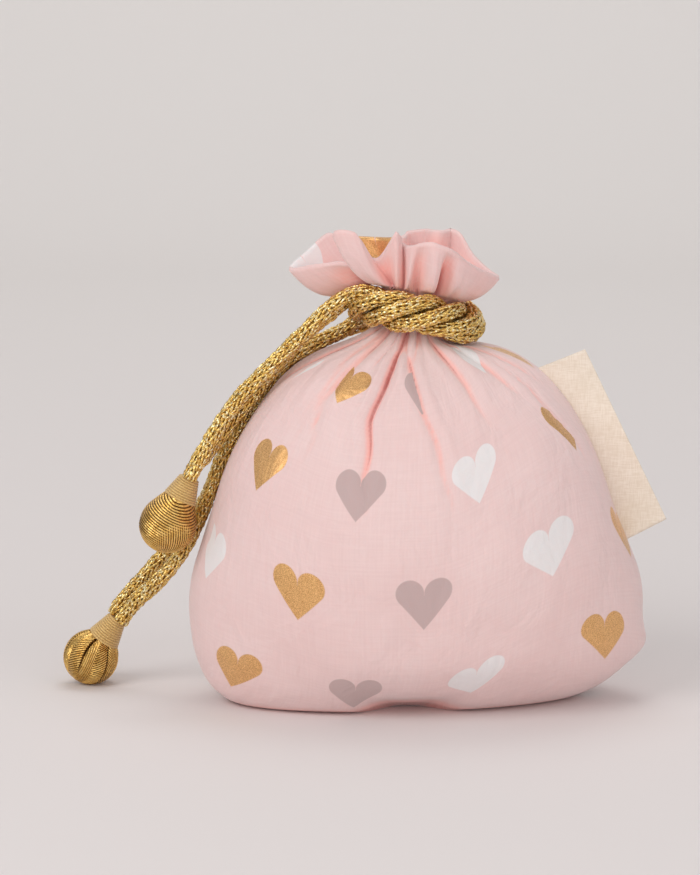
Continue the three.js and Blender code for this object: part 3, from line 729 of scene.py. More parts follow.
def pouch_rings():
    """Points of the outer skin in millimetres, ring by ring from the base, how much painted shade each
    point takes, and each column's bearing."""
    bearing, rim, sag, flare, gathered = cloth_columns()
    turn = np.radians(bearing)
    cos, sin = np.cos(turn), np.sin(turn)
    arch = np.exp(-((turn_between(bearing, ARCH["bearing"]) / ARCH["spread"]) ** 6))
    drop = wrap_drop(bearing) / MM
    pleat = np.zeros_like(turn)
    for count, phase, size in PLEATS:
        pleat += size * (1 - np.abs(np.sin(count * turn / 2 + phase))) ** 2
    rings, painted_shade = [], []

    body = smooth_route(SECTIONS, BODY_STEPS)
    _, across, deep = body[0, :3]
    inwards = np.linspace(0, 1, BASE_RINGS + 1)[1:-1]
    bottom = [(0, across * share, deep * share, 0, share, 0) for share in inwards]
    for up, across, deep, lift, tuck, lower in [*bottom, *body]:
        wide, far = across * POUCH_WIDTH / 2, deep * POUCH_DEPTH / 2
        oval = 1 / np.hypot(cos / wide, sin / far)
        height = up * NECK_MM
        depth = crease_depth(bearing, height, oval)
        pleated = pleat * np.clip((height - PLEATS_FROM) / PLEATS_OVER, 0, 1)
        lump = body_lumps(bearing, height, up)
        radius = oval - depth - pleated + lump - ARCH["tuck"] * tuck * arch
        z = height + ARCH["lift"] * lift * arch - lower * drop
        shifted = max(0.0, 1 - height / BASE_SHIFT["height"]) ** 2
        x = radius * cos + BASE_SHIFT["across"] * shifted
        rings.append(np.column_stack([x, radius * sin + BASE_SHIFT["turn"] * x * shifted, z]))
        # painted shade: deeper coral in creases and pleats, on the base's tucked edge and on the neck
        # under the rope
        neck_shade = NECK_SHADE * np.clip((height - NECK_SHADE_FROM) / (NECK_MM - NECK_SHADE_FROM), 0, 1)
        shade_amount = depth / SHADE_CREASE + pleated / SHADE_PLEAT + SHADE_TUCK * tuck + neck_shade
        painted_shade.append(np.clip(shade_amount, 0, 1))

    start = np.hypot(rings[-1][:, 0], rings[-1][:, 1])
    for angle in np.radians(np.linspace(0, TURN_OUT_END, NECK_RINGS + 1)[1:]):
        radius = np.maximum(start, WRAP_RADIUS / MM - TURN_OUT * math.cos(angle))
        drawn = angle / math.radians(TURN_OUT_END)
        radius = radius - pleat - 0.5 * gathered * drawn**2
        z = NECK_MM - drop + TURN_OUT * math.sin(angle) - 0.2 * np.maximum(gathered, 0) * drawn**2
        neck = np.column_stack([radius * cos, radius * sin, z])
        rings.append(neck)
        painted_shade.append(painted_shade[-1])

    # the neck's last ring comes again as the ruffle's first
    rings.pop()
    painted_shade.pop()
    for share in np.linspace(0, 1, RUFFLE_RINGS):
        out, rise = (share**flare)[:, None], share**RUFFLE_RISE
        depth = np.zeros_like(start)
        for line, reach, deepest, width in RUFFLE_CREASES:
            grow = max(0.0, 1 - share / reach) ** 0.6 * min(1, share * 6)
            depth += deepest * grow * np.exp(-((turn_between(bearing, line) / width) ** 2))
        flat = neck[:, :2] * (1 - out) + rim[:, :2] * out
        depth += pleat * (1 - share) ** 2.5 + 0.7 * gathered * share * (2.4 - 2.4 * share)
        flat -= np.column_stack([cos, sin]) * depth[:, None]
        z = neck[:, 2] * (1 - rise) + rim[:, 2] * rise - sag * SAG_PEAK * share * (1 - share)
        rings.append(np.column_stack([flat, z]))
        # painted shade in the ruffle: a little over all of it, more in its creases, its gathers and at
        # its foot
        shade_amount = RUFFLE_SHADE["all"] + depth / RUFFLE_SHADE["crease"]
        shade_amount += gathered / RUFFLE_SHADE["gather"] * (1 - share**2)
        shade_amount += RUFFLE_SHADE["foot"] * (1 - share) ** 3
        painted_shade.append(np.clip(shade_amount, 0, 1))
    return np.array(rings), np.array(painted_shade), bearing


def skin_faces(rings, columns, start, pole):
    """Quads of a skin whose first ring closes on a pole."""
    i = np.arange(columns)
    nxt = (i + 1) % columns
    faces = [(pole, start + b, start + a) for a, b in zip(i, nxt)]
    for ring in range(rings - 1):
        low = start + ring * columns
        faces += [(low + a, low + b, low + columns + b, low + columns + a) for a, b in zip(i, nxt)]
    return faces


def vertex_normals(points, faces):
    normals = np.zeros_like(points)
    for face in (faces[:, [0, 1, 2]], faces[:, [0, 2, 3]]):
        a, b, c = (points[face[:, k]] for k in range(3))
        cross = np.cross(b - a, c - a)
        for k in range(3):
            np.add.at(normals, face[:, k], cross)
    return normals / np.maximum(np.linalg.norm(normals, axis=1, keepdims=True), 1e-12)


def cloth_uv(rings, bearing):
    """Place on the flat cloth of the front and of the back in millimetres, round the bag and up it, and
    the way round the bag at each ring."""
    fine = np.radians(np.linspace(-180, 180, 2881))
    ring = np.column_stack([np.cos(fine) * POUCH_WIDTH / 2, np.sin(fine) * POUCH_DEPTH / 2])
    polar = np.degrees(np.unwrap(np.arctan2(ring[:, 1], ring[:, 0])))
    arc = np.concatenate([[0], np.cumsum(np.linalg.norm(np.diff(ring, axis=0), axis=1))])
    u = np.interp(bearing, polar, arc) - np.interp(-90, polar, arc)
    climb = np.linalg.norm(np.diff(rings, axis=0), axis=2)
    v = np.vstack([np.linalg.norm(rings[0], axis=1), climb]).cumsum(axis=0)
    side = np.cos(np.radians(bearing))
    size = np.linalg.norm(rings[:, :, :2], axis=2).mean(axis=1)
    scale = np.where(np.arange(len(size)) < np.argmax(size), size / size.max(), 1.0)[:, None]
    left = PRINT_RISE_LEFT * np.abs(side) ** 3 + PRINT_RISE_SEAM * side**24
    rise = np.where(side > 0, PRINT_RISE_RIGHT * side**2, left)
    front = np.stack([u * scale, v + PRINT_LIFT - rise], axis=2)
    level = rings[:, :, 2]
    late = np.clip((front[:, :, 0] - PRINT_DRAG_FROM) / PRINT_DRAG_SPAN, 0, 1)
    drag = PRINT_DRAG * (1 + np.exp(-(((level - PRINT_DRAG_HEIGHT) / PRINT_DRAG_REACH) ** 2)))
    front[:, :, 0] -= drag * late**2 * (3 - 2 * late)
    spread = np.clip((level - GOLD_SPREAD_FROM) / GOLD_SPREAD_OVER, 0, 1)
    spread *= turn_between(bearing, crease_line(GOLD_FOLD, level)) > 0
    spread *= turn_between(bearing, crease_line(MIDDLE_FOLD, level)) < 0
    front += (spread[:, :, None] * GOLD_SPREAD) * (front - GOLD_MIDDLE)
    half = arc[-1] / 2
    back = np.array(BACK_TURN) - np.stack([half + (u - half) * scale, v], axis=2)
    return front, back, np.repeat(arc[-1] * scale, len(bearing), axis=1)


def ruffle_uv(rings):
    """Place on the cloth of the ruffle, so that a gold heart comes to its rear left rim, and the column
    of that heart's middle."""
    rim = rings[-1]
    arc = np.concatenate([[0], np.cumsum(np.linalg.norm(np.diff(rim, axis=0), axis=1))])
    behind = np.where(rim[:, 1] > RUFFLE_GOLD_BEHIND)[0]
    middle = behind[np.argmin(np.abs(rim[behind, 0] - RUFFLE_GOLD_ACROSS))]
    u = RUFFLE_GOLD[0] - RUFFLE_PRINT_SCALE * (arc - arc[middle])
    down = np.linalg.norm(np.diff(rings[::-1], axis=0), axis=2).cumsum(axis=0)[::-1]
    v = RUFFLE_GOLD[1] + RUFFLE_GOLD_INSET - np.vstack([down, np.zeros(len(u))])
    return np.stack([np.broadcast_to(u, v.shape), v], axis=2), middle


def print_shown(rings, middle):
    """1 where the cloth has its print and 0 in the left seam and in most of the neck and the ruffle."""
    x, y = rings[:, :, 0], rings[:, :, 1]
    shown = np.ones(x.shape)
    shown[(x < 0) & (y > LEFT_SEAM[0]) & (y < LEFT_SEAM[1])] = 0
    shown[-RUFFLE_RINGS - NECK_RINGS :] = 0
    shown[-RUFFLE_RINGS:, middle - COLUMNS_PER_FOLD :] = 1
    return shown


def print_folded(rings, bearing):
    """Over a half where a fold hides the print, by how far in the point is."""
    level = rings[:, :, 2]
    inside = np.full(level.shape, -FOLD_TURN)
    for crease, side, reach, lowest in HIDING_FOLDS:
        past = side * turn_between(bearing, crease_line(crease, level))
        inside = np.maximum(inside, np.where(level > lowest, np.minimum(past, reach - past), -FOLD_TURN))
    return np.clip(0.5 + inside / FOLD_TURN, 0, 1)


def skin_values(pole, values):
    """Values of the points of the outer skin, the inner skin and the rim, from those of the rings."""
    skin = np.concatenate([[pole], values.reshape(-1, *values.shape[2:])])
    return np.concatenate([skin, skin, values[-1]])


def set_values(mesh, name, values):
    """Stores a number for each point of a mesh."""
    attribute = mesh.attributes.new(name, "FLOAT", "POINT")
    attribute.data.foreach_set("value", values.astype(np.float32))


def lay_print(mesh, points, rings, bearing, edging):
    """Lays the mesh out on the flat cloth: the front, the back and the ruffle, each face as one."""
    front, back, around = cloth_uv(rings, bearing)
    corners = np.array([loop.vertex_index for loop in mesh.loops])
    starts = np.array([face.loop_start for face in mesh.polygons])
    totals = np.array([face.loop_total for face in mesh.polygons])
    owner = np.repeat(np.arange(len(starts)), totals)
    flat = skin_values((0, 0), front)[corners]
    rear = np.add.reduceat(points[corners][:, 1], starts)[owner] > 0
    flat[rear] = skin_values((0, 0), back)[corners][rear]
    period = skin_values(around[0, 0], around)[corners]
    first = flat[starts][owner][:, 0]
    flat[:, 0] += period * np.round((first - flat[:, 0]) / period)
    body = np.zeros((len(rings) - RUFFLE_RINGS, *edging.shape[1:]))
    ruffle = skin_values((0, 0), np.concatenate([body, edging]))[corners]
    above = np.minimum.reduceat((ruffle[:, 1] != 0).astype(int), starts)[owner] > 0
    flat[above] = ruffle[above]
    layer = mesh.uv_layers.new(name="cloth")
    layer.data.foreach_set("uv", flat.ravel().astype(np.float32))


def new_piece(name, mesh):
    """A smooth object of a mesh, put in the scene."""
    mesh.polygons.foreach_set("use_smooth", np.ones(len(mesh.polygons), bool))
    piece = bpy.data.objects.new(name, mesh)
    bpy.context.scene.collection.objects.link(piece)
    return piece


def make_pouch(name):
    """The bag's outer and inner skins, joined by a rounded rim."""
    rings, painted_shade, bearing = pouch_rings()
    count, columns = rings.shape[:2]
    outer = np.vstack([[[0, 0, 0]], rings.reshape(-1, 3)])
    faces = skin_faces(count, columns, 1, 0)
    quads = np.array([f if len(f) == 4 else (*f, f[-1]) for f in faces])
    normals = vertex_normals(outer, quads)
    share = np.clip((np.arange(count) - count + RUFFLE_RINGS + 1) / RUFFLE_RINGS, 0, 1)
    doubled = CLOTH + (RIM_CLOTH - CLOTH) * share**2
    inner = outer - normals * np.append(CLOTH, np.repeat(doubled, columns))[:, None]
    inner[:, 2] = np.maximum(inner[:, 2], BOTTOM_CLOTH)
    shift = len(outer)
    faces += [tuple(reversed([shift + k for k in f])) for f in faces]
    rim = 1 + (count - 1) * columns
    tangent = rings[-1] - rings[-2]
    tangent /= np.linalg.norm(tangent, axis=1, keepdims=True)
    edge = outer[rim:] + (tangent - normals[rim:]) * RIM_CLOTH / 2
    lip = 2 * shift
    for i in range(columns):
        j = (i + 1) % columns
        faces.append((rim + i, rim + j, lip + j, lip + i))
        faces.append((lip + i, lip + j, shift + rim + j, shift + rim + i))
    points = np.vstack([outer, inner, edge])
    mesh = bpy.data.meshes.new(name)
    mesh.from_pydata((points * MM).tolist(), [], faces)
    edging, middle = ruffle_uv(rings[-RUFFLE_RINGS:])
    lay_print(mesh, points, rings, bearing, edging)
    # the crease attribute holds each point's painted shade
    set_values(mesh, "crease", skin_values(0, painted_shade))
    set_values(mesh, "printed", skin_values(1, print_shown(rings, middle)))
    set_values(mesh, "folded", skin_values(0, print_folded(rings, bearing)))
    mesh.update()
    return new_piece(name, mesh)


def woven(start, place, weft, warp):
    """The threads of a plain weave, from how fast its weft and its warp change along each axis."""
    across = start.noise(start.vector("MULTIPLY", place, weft), 1.0, 3.0)
    return across + start.noise(start.vector("MULTIPLY", place, warp), 1.0, 3.0)


def printed_cotton_material():
    material, start, shader = new_material("printed_cotton")
    cloth = start.node("ShaderNodeUVMap", {"uv_map": "cloth"})
    across = start.node("ShaderNodeSeparateXYZ", {}, {0: cloth})
    up = across.output("Y")
    row = ((up - HEART_ORIGIN[1]) / HEART_ROW + 0.5).floor()
    odd = (row + 1.0).wrap(2.0)
    shifted = (across - HEART_ORIGIN[0] - odd * (HEART_COLUMN * HEART_ROW_SHIFT)) / HEART_COLUMN
    column = (shifted + 0.5).floor()
    x = abs((shifted - column) * (HEART_COLUMN / HEART_HALF))
    y = (up - HEART_ORIGIN[1] - row * HEART_ROW) / HEART_HALF + 0.09
    lobe = ((x - 0.5) ** 2.0 + (y - 0.5) ** 2.0) ** 0.5 - 0.5
    side = x * math.cos(HEART_SIDE) - (y - HEART_TIP) * math.sin(HEART_SIDE)
    above = (x - 0.5) * math.sin(HEART_SIDE) + (y - 0.5) * math.cos(HEART_SIDE)
    point = start.math("MAXIMUM", start.math("MAXIMUM", side, above), y - 0.45)
    heart = start.math("MINIMUM", lobe, point).ramp(-0.025, 0.025, 1.0, 0.0)
    heart = heart * start.attribute("printed")
    heart = heart * row.ramp(0.4, 0.6) * start.attribute("folded").ramp(0.46, 0.54, 1.0, 0.0)
    kind = (column + 300.0).wrap(3.0)
    is_white = kind.ramp(0.4, 0.6) * kind.ramp(1.4, 1.6, 1.0, 0.0)
    is_gold = kind.ramp(1.4, 1.6)
    place = start.node("ShaderNodeTexCoord", out="Object")
    grain = start.noise(place, 4200.0, 2.0)
    cloudy = start.noise(place, 38.0, 4.0)
    thread = woven(start, cloth, WEFT, WARP)
    rumple = start.noise(start.vector("MULTIPLY", cloth, RUMPLE), 1.0, 3.0, distortion=0.8)
    # painted shade: the crease attribute turns the pink to deeper coral in creases, folds and under the
    # rope
    crease = start.attribute("crease")
    pink = crease.ramp(0.05, 0.6).mix(PINK, CREASE_SHADE_PINK)
    pink = crease.ramp(0.6, 1.0).mix(pink, DEEP_SHADE_PINK)
    pink = (thread.ramp(0.7, 1.3) * 0.26).mix(pink, THREAD_PINK)
    pink = (cloudy.ramp(0.35, 0.7) * 0.20).mix(pink, CLOUD_PINK)
    foil = grain.ramp(0.35, 0.65).mix(FOIL_DARK, FOIL_BRIGHT)
    ink = is_gold.mix(is_white.mix(GREY_INK, WHITE_INK), foil)
    cover = heart * (1.0 - grain.ramp(0.62, 0.8) * 0.18)
    metal = cover * is_gold
    relief = thread + grain * 0.4 + rumple * 34.0
    bump = start.node("ShaderNodeBump", {}, {"Strength": 0.25, "Distance": 0.00012, "Height": relief})
    feed(
        start,
        shader,
        Base_Color=cover.mix(pink, ink),
        Metallic=metal * 0.75,
        Roughness=metal.ramp(0.0, 1.0, 0.85, 0.42),
        Normal=bump,
        Sheen_Weight=0.25,
        Sheen_Roughness=0.5,
        Subsurface_Weight=0.12,
        Subsurface_Scale=0.004,
        Subsurface_Radius=(1.0, 0.4, 0.35),
    )
    return material


pouch = make_pouch("pouch_cloth")
pouch.data.materials.append(printed_cotton_material())
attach(pouch, "root")
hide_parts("pouch")

# Side tab: a strip of cream cotton tape, folded double along its outer edge and caught in the right
# side seam. It is stiff enough to stand out from the bag, with a slight curl.
TAB_TOP = (0.0524, 0.110)
TAB_LENGTH = 0.0595
TAB_LEAN = math.radians(25.9)
TAB_SEAM = (0.1038, 0.050)
TAB_THICKNESS = 0.0011
TAB_GAP = 0.0002
TAB_TUCK = 0.0012
TAB_CURL = 0.0011
TAB_TWIST = 0.0006
TAB_FOLD = 0.02
TAB_COLUMNS = 22
TAB_FOLD_COLUMNS = 9
TAB_ROWS = 60
TAB_WEFT = (300.0, 300.0, 2600.0)
TAB_WARP = (2600.0, 300.0, 300.0)
CREAM = (0.87, 0.775, 0.67)
CREAM_DARK = (0.775, 0.665, 0.545)
CREAM_SLUB = (0.70, 0.58, 0.45)


def seam_reach(height):
    """How far the side seam is from the middle at a height."""
    table = np.array(SECTIONS)
    return np.interp(height, table[:, 0] * NECK_MM * MM, table[:, 1] * POUCH_WIDTH / 2 * MM)


def make_tab(name):
    """Two layers of tape joined by a fold along the tab's outer edge, as one closed sheet."""
    down = np.linspace(0, 1, TAB_ROWS)
    outer = np.column_stack(
        [
            TAB_TOP[0] + down * TAB_LENGTH * math.sin(TAB_LEAN),
            TAB_TOP[1] - down * TAB_LENGTH * math.cos(TAB_LEAN),
        ]
    )
    heights = TAB_SEAM[0] + (TAB_SEAM[1] - TAB_SEAM[0]) * down
    inner = np.column_stack([seam_reach(heights) - TAB_TUCK, heights])
    turn = np.linspace(-math.pi / 2, math.pi / 2, TAB_FOLD_COLUMNS)[1:-1]
    side = np.linspace(1, TAB_FOLD, TAB_COLUMNS)
    share = np.concatenate([side, TAB_FOLD - TAB_FOLD * np.cos(turn), side[::-1]])
    layer = np.concatenate([-np.ones(TAB_COLUMNS), np.sin(turn), np.ones(TAB_COLUMNS)])
    flat = outer[:, None] * (1 - share[:, None]) + inner[:, None] * share[:, None]
    d, s = np.meshgrid(down, share, indexing="ij")
    curl = TAB_CURL * (1 - s) ** 2 * np.sin(2.2 * d * math.pi + 0.6) + TAB_TWIST * (1 - s) * (2 * d - 1)
    puff = 0.6 + 0.4 * np.cos(math.pi * (2 * d - 1) * 0.9) + 0.35 * np.abs(2 * d - 1) ** 6
    skins = []
    for half in (TAB_THICKNESS / 2, TAB_GAP / 2):
        skins.append(np.stack([flat[..., 0], curl + layer * half * puff, flat[..., 1]], axis=2))
    rows, columns = skins[0].shape[:2]
    count = rows * columns
    faces = []
    for r in range(rows - 1):
        for c in range(columns - 1):
            a = r * columns + c
            faces.append((a, a + columns, a + columns + 1, a + 1))
            faces.append((count + a, count + a + 1, count + a + columns + 1, count + a + columns))
    loop = list(range(columns))
    loop += [r * columns + columns - 1 for r in range(1, rows)]
    loop += [(rows - 1) * columns + c for c in range(columns - 2, -1, -1)]
    loop += [r * columns for r in range(rows - 2, 0, -1)]
    for a, b in zip(loop, loop[1:] + loop[:1]):
        faces.append((a, b, count + b, count + a))
    mesh = bpy.data.meshes.new(name)
    mesh.from_pydata(np.vstack([skin.reshape(-1, 3) for skin in skins]).tolist(), [], faces)
    return new_piece(name, mesh)


def label_cotton_material():
    material, start, shader = new_material("label_cotton")
    place = start.node("ShaderNodeTexCoord", out="Object")
    thread = woven(start, place, TAB_WEFT, TAB_WARP)
    slub = start.noise(place, 160.0, 4.0)
    cream = thread.ramp(0.7, 1.3).mix(CREAM_DARK, CREAM)
    cream = (slub.ramp(0.4, 0.75) * 0.25).mix(cream, CREAM_SLUB)
    bump = start.node("ShaderNodeBump", {}, {"Strength": 0.25, "Distance": 0.00015, "Height": thread})
    feed(start, shader, Base_Color=cream, Roughness=0.9, Normal=bump, Sheen_Weight=0.2)
    return material


tab = make_tab("side_label_tape")
tab.data.materials.append(label_cotton_material())
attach(tab, "root")
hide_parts("side_label")

# Cord ends: each pair of cords is bound by a tapering collar of pale gold thread, wound closely, above
# a ball of padding wrapped in fine-ribbed antique gold cloth that is gathered under the collar.
COLLAR_FOOT = 0.0050
COLLAR_TOP = 0.0028
COLLAR_PITCH = 0.00074
COLLAR_SIDES = 28
COLLAR_CORE = 0.96
COLLAR_SEAT = 0.985
THREAD_RADIUS = 0.00041
THREAD_DARK = (0.56, 0.35, 0.11)
THREAD_BRIGHT = (0.74, 0.51, 0.20)
BALL_ENDS = {
    "upper": {"centre": (-0.0766, -0.0050, 0.0560), "tip": (-0.0698, -0.0050, 0.0706)},
    "lower": {"centre": (-0.1026, 0.0190, 0.0088), "tip": (-0.0942, 0.0175, 0.0214)},
}
# girth: the ball's radius. crown: how high the cloth is drawn up to the collar. overlap: how far its
# panels tuck under each other. slant: how much each panel's ribs turn. lean: how far the ribs are
# tipped. uprights: 1 where a patch of the ribs runs upright.
BALL_FOLDS = {
    "upper": {
        "girth": 0.0089,
        "crown": 0.0093,
        "panels": 1,
        "seam": 200,
        "slant": 3.0,
        "lean": 13,
        "overlap": 0.08,
        "uprights": 1.0,
    },
    "lower": {
        "girth": 0.0088,
        "crown": 0.0076,
        "panels": 6,
        "seam": 20,
        "slant": 9.0,
        "lean": 0,
        "overlap": 0.20,
        "uprights": 0.0,
    },
}
RIBS = 32
RIB_DEPTH = 0.013
UPRIGHT_BEARING = 310
UPRIGHT_POLAR = 114
UPRIGHT_LEAN = 0.5
UPRIGHT_EDGE = 0.62
UPRIGHT_FADE = 0.3
PANEL_TWIST = 0.35
BALL_ROWS = 190
BALL_COLUMNS = 500
BALL_GLINT_SCALE = 2600
BALL_DARK = (0.80, 0.47, 0.12)
BALL_BRIGHT = (1.0, 0.66, 0.22)
# painted shade in the ribs' grooves and the panels' seams
BALL_GROOVE_SHADE = (0.10, 0.04, 0.006)


def axis_frame(end):
    """Columns of the turned axes of a ball end, with the last along its collar."""
    axis = np.array(end["tip"]) - np.array(end["centre"])
    length = np.linalg.norm(axis)
    axis = axis / length
    side = np.cross((0, 1, 0), axis)
    side /= np.linalg.norm(side)
    return np.column_stack([side, np.cross(axis, side), axis]), length


def ball_cloth_material():
    material, start, shader = new_material("ball_cloth")
    place = start.node("ShaderNodeTexCoord", out="Object")
    patch = start.noise(place, 500.0, 3.0)
    tone = patch.ramp(0.3, 0.7).mix(BALL_DARK, BALL_BRIGHT)
    # painted shade: darker in the rib grooves and at the panel seams
    tone = start.attribute("groove_shade").ramp(0.2, 0.85).mix(tone, BALL_GROOVE_SHADE)
    feed(
        start,
        shader,
        Base_Color=tone,
        Metallic=0.95,
        Roughness=patch.ramp(0.2, 0.8, 0.20, 0.34),
        Normal=glitter(start, place, BALL_GLINT_SCALE, 0.30),
    )
    return material


def thread_material():
    material, start, shader = new_material("collar_thread")
    place = start.node("ShaderNodeTexCoord", out="Object")
    patch = start.noise(place, 2200.0, 3.0)
    tone = patch.ramp(0.3, 0.7).mix(THREAD_DARK, THREAD_BRIGHT)
    feed(start, shader, Base_Color=tone, Roughness=0.5, Metallic=0.25, Sheen_Weight=0.3)
    return material


def thread_tree(material):
    """A thread wound closely up a tapering core."""
    sockets = [
        ("Turns", "NodeSocketFloat"),
        ("Foot", "NodeSocketFloat"),
        ("Top", "NodeSocketFloat"),
        ("Height", "NodeSocketFloat"),
        ("Thread", "NodeSocketFloat"),
    ]
    tree, entry = new_tree("wound_thread", sockets)
    start = Term(tree)
    spiral = start.node(
        "GeometryNodeCurveSpiral",
        {},
        {
            "Resolution": COLLAR_SIDES,
            "Rotations": entry.output("Turns"),
            "Start Radius": entry.output("Foot"),
            "End Radius": entry.output("Top"),
            "Height": entry.output("Height"),
        },
    )
    ring = start.node(
        "GeometryNodeCurvePrimitiveCircle", {}, {"Resolution": 6, "Radius": entry.output("Thread")}
    )
    wound = start.node(
        "GeometryNodeCurveToMesh", {}, {"Curve": spiral, "Profile Curve": ring, "Fill Caps": True}
    )
    close_tree(tree, joined(wound, entry), material)
    return tree


def lathe_mesh(name, profile, sides):
    """A closed turned mesh from radius and height pairs that start and end on the axis."""
    turn = np.linspace(0, 2 * math.pi, sides, endpoint=False)
    points = [(0, 0, profile[0][1])]
    for radius, height in profile[1:-1]:
        points += [(radius * math.cos(t), radius * math.sin(t), height) for t in turn]
    points.append((0, 0, profile[-1][1]))
    last = len(points) - 1
    faces = []
    for i in range(sides):
        j = (i + 1) % sides
        faces.append((0, 1 + j, 1 + i))
        for ring in range(len(profile) - 3):
            low = 1 + ring * sides
            faces.append((low + i, low + j, low + sides + j, low + sides + i))
        faces.append((last, last - sides + i, last - sides + j))
    mesh = bpy.data.meshes.new(name)
    mesh.from_pydata(points, [], faces)
    return mesh


def set_in_place(piece, end, offset=0.0):
    """Turns a mesh made along Z into a ball end's axis and moves it there."""
    axes, _ = axis_frame(end)
    mesh = piece.data
    points = np.zeros(len(mesh.vertices) * 3)
    mesh.vertices.foreach_get("co", points)
    points = points.reshape(-1, 3)
    points[:, 2] += offset
    mesh.vertices.foreach_set("co", (points @ axes.T + np.array(end["centre"])).ravel())
    mesh.update()


def make_ball(name, girth, crown, panels, seam, slant, lean, overlap, uprights):
    """Ribbed cloth drawn up over a ball to its collar, in panels that overlap like tucked folds."""
    foot = math.atan2(COLLAR_FOOT, crown)
    leaves = foot + math.acos(girth / math.hypot(COLLAR_FOOT, crown))
    rows = np.linspace(math.pi, foot * 0.8, BALL_ROWS)[1:]
    turn = np.linspace(0, 2 * math.pi, BALL_COLUMNS, endpoint=False)
    polar, round_ = np.meshgrid(rows, turn, indexing="ij")
    drawn = np.clip((np.cos(polar) + 0.55) / 1.4, 0, 1)
    phase = (round_ - math.radians(seam)) * panels / (2 * math.pi) + PANEL_TWIST * drawn
    inside = phase % 1
    tuck = overlap * drawn * (np.clip(1 - inside * 4, 0, 1) ** 1.5 + 0.25 * inside)
    tip = math.radians(lean)
    about = np.arccos(np.cos(polar) * math.cos(tip) - np.sin(polar) * np.sin(round_) * math.sin(tip))
    hoop = np.sin(2 * RIBS * about + 2 * math.pi * slant * np.abs(inside - 0.5))
    upright = np.sin(2 * RIBS * (round_ - UPRIGHT_LEAN * polar))
    at = math.radians(UPRIGHT_POLAR)
    near = np.cos(round_ - math.radians(UPRIGHT_BEARING)) * np.sin(polar) * math.sin(at)
    near += np.cos(polar) * math.cos(at)
    share = uprights * np.clip((near - UPRIGHT_EDGE) / UPRIGHT_FADE, 0, 1)
    rib = hoop + (upright - hoop) * share
    slope = 1 / np.cos(np.clip(leaves - polar, 0, None))
    radius = girth * slope * (1 - tuck + RIB_DEPTH * rib)
    flat = radius * np.sin(polar)
    points = np.stack([flat * np.cos(round_), flat * np.sin(round_), radius * np.cos(polar)], axis=2)
    count = len(rows)
    vertices = np.vstack([points.reshape(-1, 3), [[0, 0, -girth]], [[0, 0, points[-1, 0, 2]]]])
    faces = []
    pole, cap = count * BALL_COLUMNS, count * BALL_COLUMNS + 1
    for i in range(BALL_COLUMNS):
        j = (i + 1) % BALL_COLUMNS
        faces.append((pole, j, i))
        faces.append((cap, (count - 1) * BALL_COLUMNS + i, (count - 1) * BALL_COLUMNS + j))
        for ring in range(count - 1):
            a = ring * BALL_COLUMNS
            faces.append((a + i, a + j, a + BALL_COLUMNS + j, a + BALL_COLUMNS + i))
    mesh = bpy.data.meshes.new(name)
    mesh.from_pydata(vertices.tolist(), [], faces)
    # painted shade: dark in the grooves between the ribs, darkest at the panels' tucked seams
    groove_shade = 0.42 - 0.42 * rib + 1.6 * np.clip(1 - inside * 8, 0, 1) * drawn**0.5
    set_values(mesh, "groove_shade", np.concatenate([np.clip(groove_shade, 0, 1).ravel(), [0, 1]]))
    return new_piece(name, mesh)


collar_thread = thread_material()
wound_thread = thread_tree(collar_thread)
ball_cloth = ball_cloth_material()
for side, end in BALL_ENDS.items():
    ball = make_ball(f"ball_{side}_cloth", **BALL_FOLDS[side])
    ball.data.materials.append(ball_cloth)
    set_in_place(ball, end)
    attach(ball, "root")
    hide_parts(f"ball_{side}")
    seat = BALL_FOLDS[side]["crown"] * COLLAR_SEAT
    height = axis_frame(end)[1] - seat
    profile = [(0, 0), (COLLAR_FOOT * COLLAR_CORE, 0), (COLLAR_TOP * COLLAR_CORE, height), (0, height)]
    thread_inputs = {
        "Turns": height / COLLAR_PITCH,
        "Foot": COLLAR_FOOT,
        "Top": COLLAR_TOP,
        "Height": height,
        "Thread": THREAD_RADIUS,
    }
    core = lathe_mesh("collar_core", profile, COLLAR_SIDES)
    collar = run_tree(wound_thread, core, thread_inputs, f"collar_{side}_thread")
    set_in_place(collar, end, seat)
    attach(collar, "root")
    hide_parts(f"collar_{side}")

# Studio: a seamless pale sweep of paper, a large soft light high on the left and a weaker one on the
# right, lights over the bag, on the backdrop and in front, and a low one as from a white card.
FLOOR_COLOUR = (0.765, 0.725, 0.72)
# painted light: the backdrop is coloured lighter than the floor, where the lamps fall less
BACKDROP_PAINTED_LIGHTER = (0.82, 0.79, 0.775)
SWEEP_FRONT = -9.0
SWEEP_TURN = 1.2
SWEEP_RADIUS = 0.6
SWEEP_STEPS = 16
SWEEP_TOP = 2.4
SWEEP_HALF = 8.0
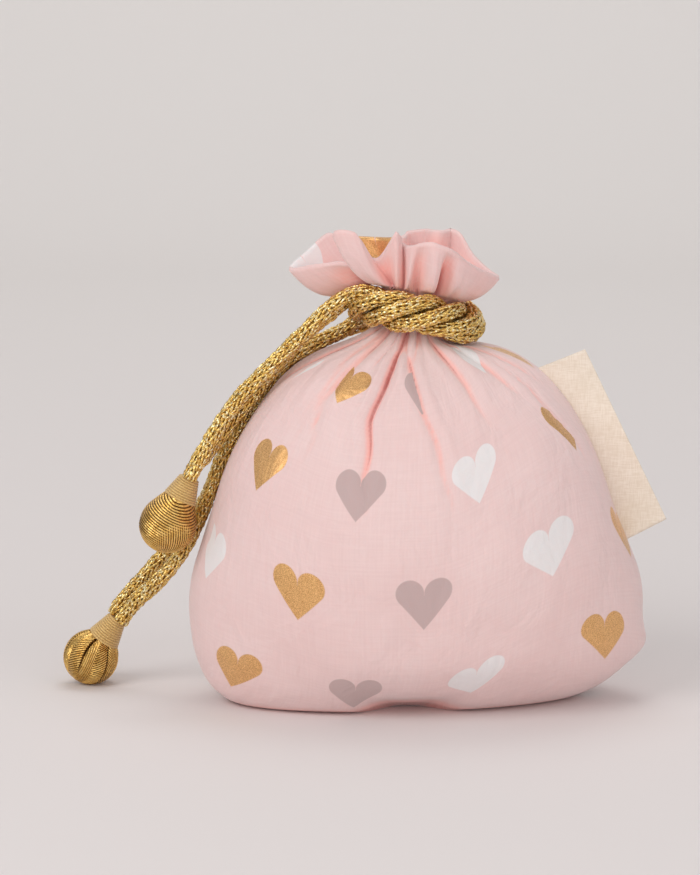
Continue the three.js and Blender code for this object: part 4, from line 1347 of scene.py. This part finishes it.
# where it is, what it faces, its diameter, its power and its colour
LIGHTS = {
    "key": ((-0.95, -0.95, 1.05), (0, 0, 0.06), 1.1, 9.8, (1, 0.985, 0.97)),
    "fill": ((1.1, -0.9, 0.7), (0, 0, 0.06), 1.2, 4.0, (1, 0.98, 0.97)),
    "top": ((0.1, 0.35, 1.4), (0, 0, 0.06), 1.0, 1.9, (1, 0.99, 0.985)),
    "back": ((0, 0.8, 1.9), (0, 1.7, 0.35), 1.2, 7.2, (1, 0.99, 0.985)),
    "front": ((-0.4, -2.1, 0.6), (0, 0, 0.07), 1.0, 5.4, (1, 0.98, 0.97)),
    "bounce": ((0.15, -1.3, 0.12), (0, 0, 0.05), 0.7, 2.0, (1, 0.98, 0.97)),
}
WORLD_COLOUR = (1, 0.985, 0.98, 1)
WORLD_STRENGTH = 0.43


def make_floor():
    profile = [(SWEEP_FRONT, 0.0), (SWEEP_TURN, 0.0)]
    for i in range(1, SWEEP_STEPS + 1):
        turn = math.radians(90 * i / SWEEP_STEPS)
        back = SWEEP_TURN + SWEEP_RADIUS * math.sin(turn)
        profile.append((back, SWEEP_RADIUS - SWEEP_RADIUS * math.cos(turn)))
    profile.append((SWEEP_TURN + SWEEP_RADIUS, SWEEP_TOP))
    points = [(x, y, z) for y, z in profile for x in (-SWEEP_HALF, SWEEP_HALF)]
    faces = [(2 * i, 2 * i + 1, 2 * i + 3, 2 * i + 2) for i in range(len(profile) - 1)]
    mesh = bpy.data.meshes.new("floor")
    mesh.from_pydata(points, [], faces)
    material, start, shader = new_material("floor")
    place = start.node("ShaderNodeTexCoord", out="Object")
    back = start.node("ShaderNodeSeparateXYZ", {}, {0: place}).output("Y")
    # painted light: the sweep lightens from the floor to the backdrop, to make up for the lamps falling
    # less on it
    tone = back.ramp(0.2, 1.4).mix(FLOOR_COLOUR, BACKDROP_PAINTED_LIGHTER)
    feed(start, shader, Base_Color=tone, Roughness=0.7, Specular_IOR_Level=0.2)
    mesh.materials.append(material)
    return new_piece("floor", mesh)


def area_light(name, location, aim, size, energy, tint):
    data = bpy.data.lights.new(name, "AREA")
    data.shape = "DISK"
    data.size = size
    data.energy = energy
    data.color = tint
    light = bpy.data.objects.new(name, data)
    light.location = location
    away = [a - b for a, b in zip(location, aim)]
    flat = math.hypot(away[0], away[1])
    light.rotation_euler = (math.atan2(flat, away[2]), 0, math.atan2(away[0], -away[1]))
    bpy.context.scene.collection.objects.link(light)


make_floor()
for name, values in LIGHTS.items():
    area_light(name, *values)
# the low light only softens undersides, so that the gold doesn't mirror it
bpy.data.objects["bounce"].visible_glossy = False
world = bpy.data.worlds.new("studio")
world.use_nodes = True
background = next(node for node in world.node_tree.nodes if node.type == "BACKGROUND")
background.inputs["Color"].default_value = WORLD_COLOUR
background.inputs["Strength"].default_value = WORLD_STRENGTH
bpy.context.scene.world = world
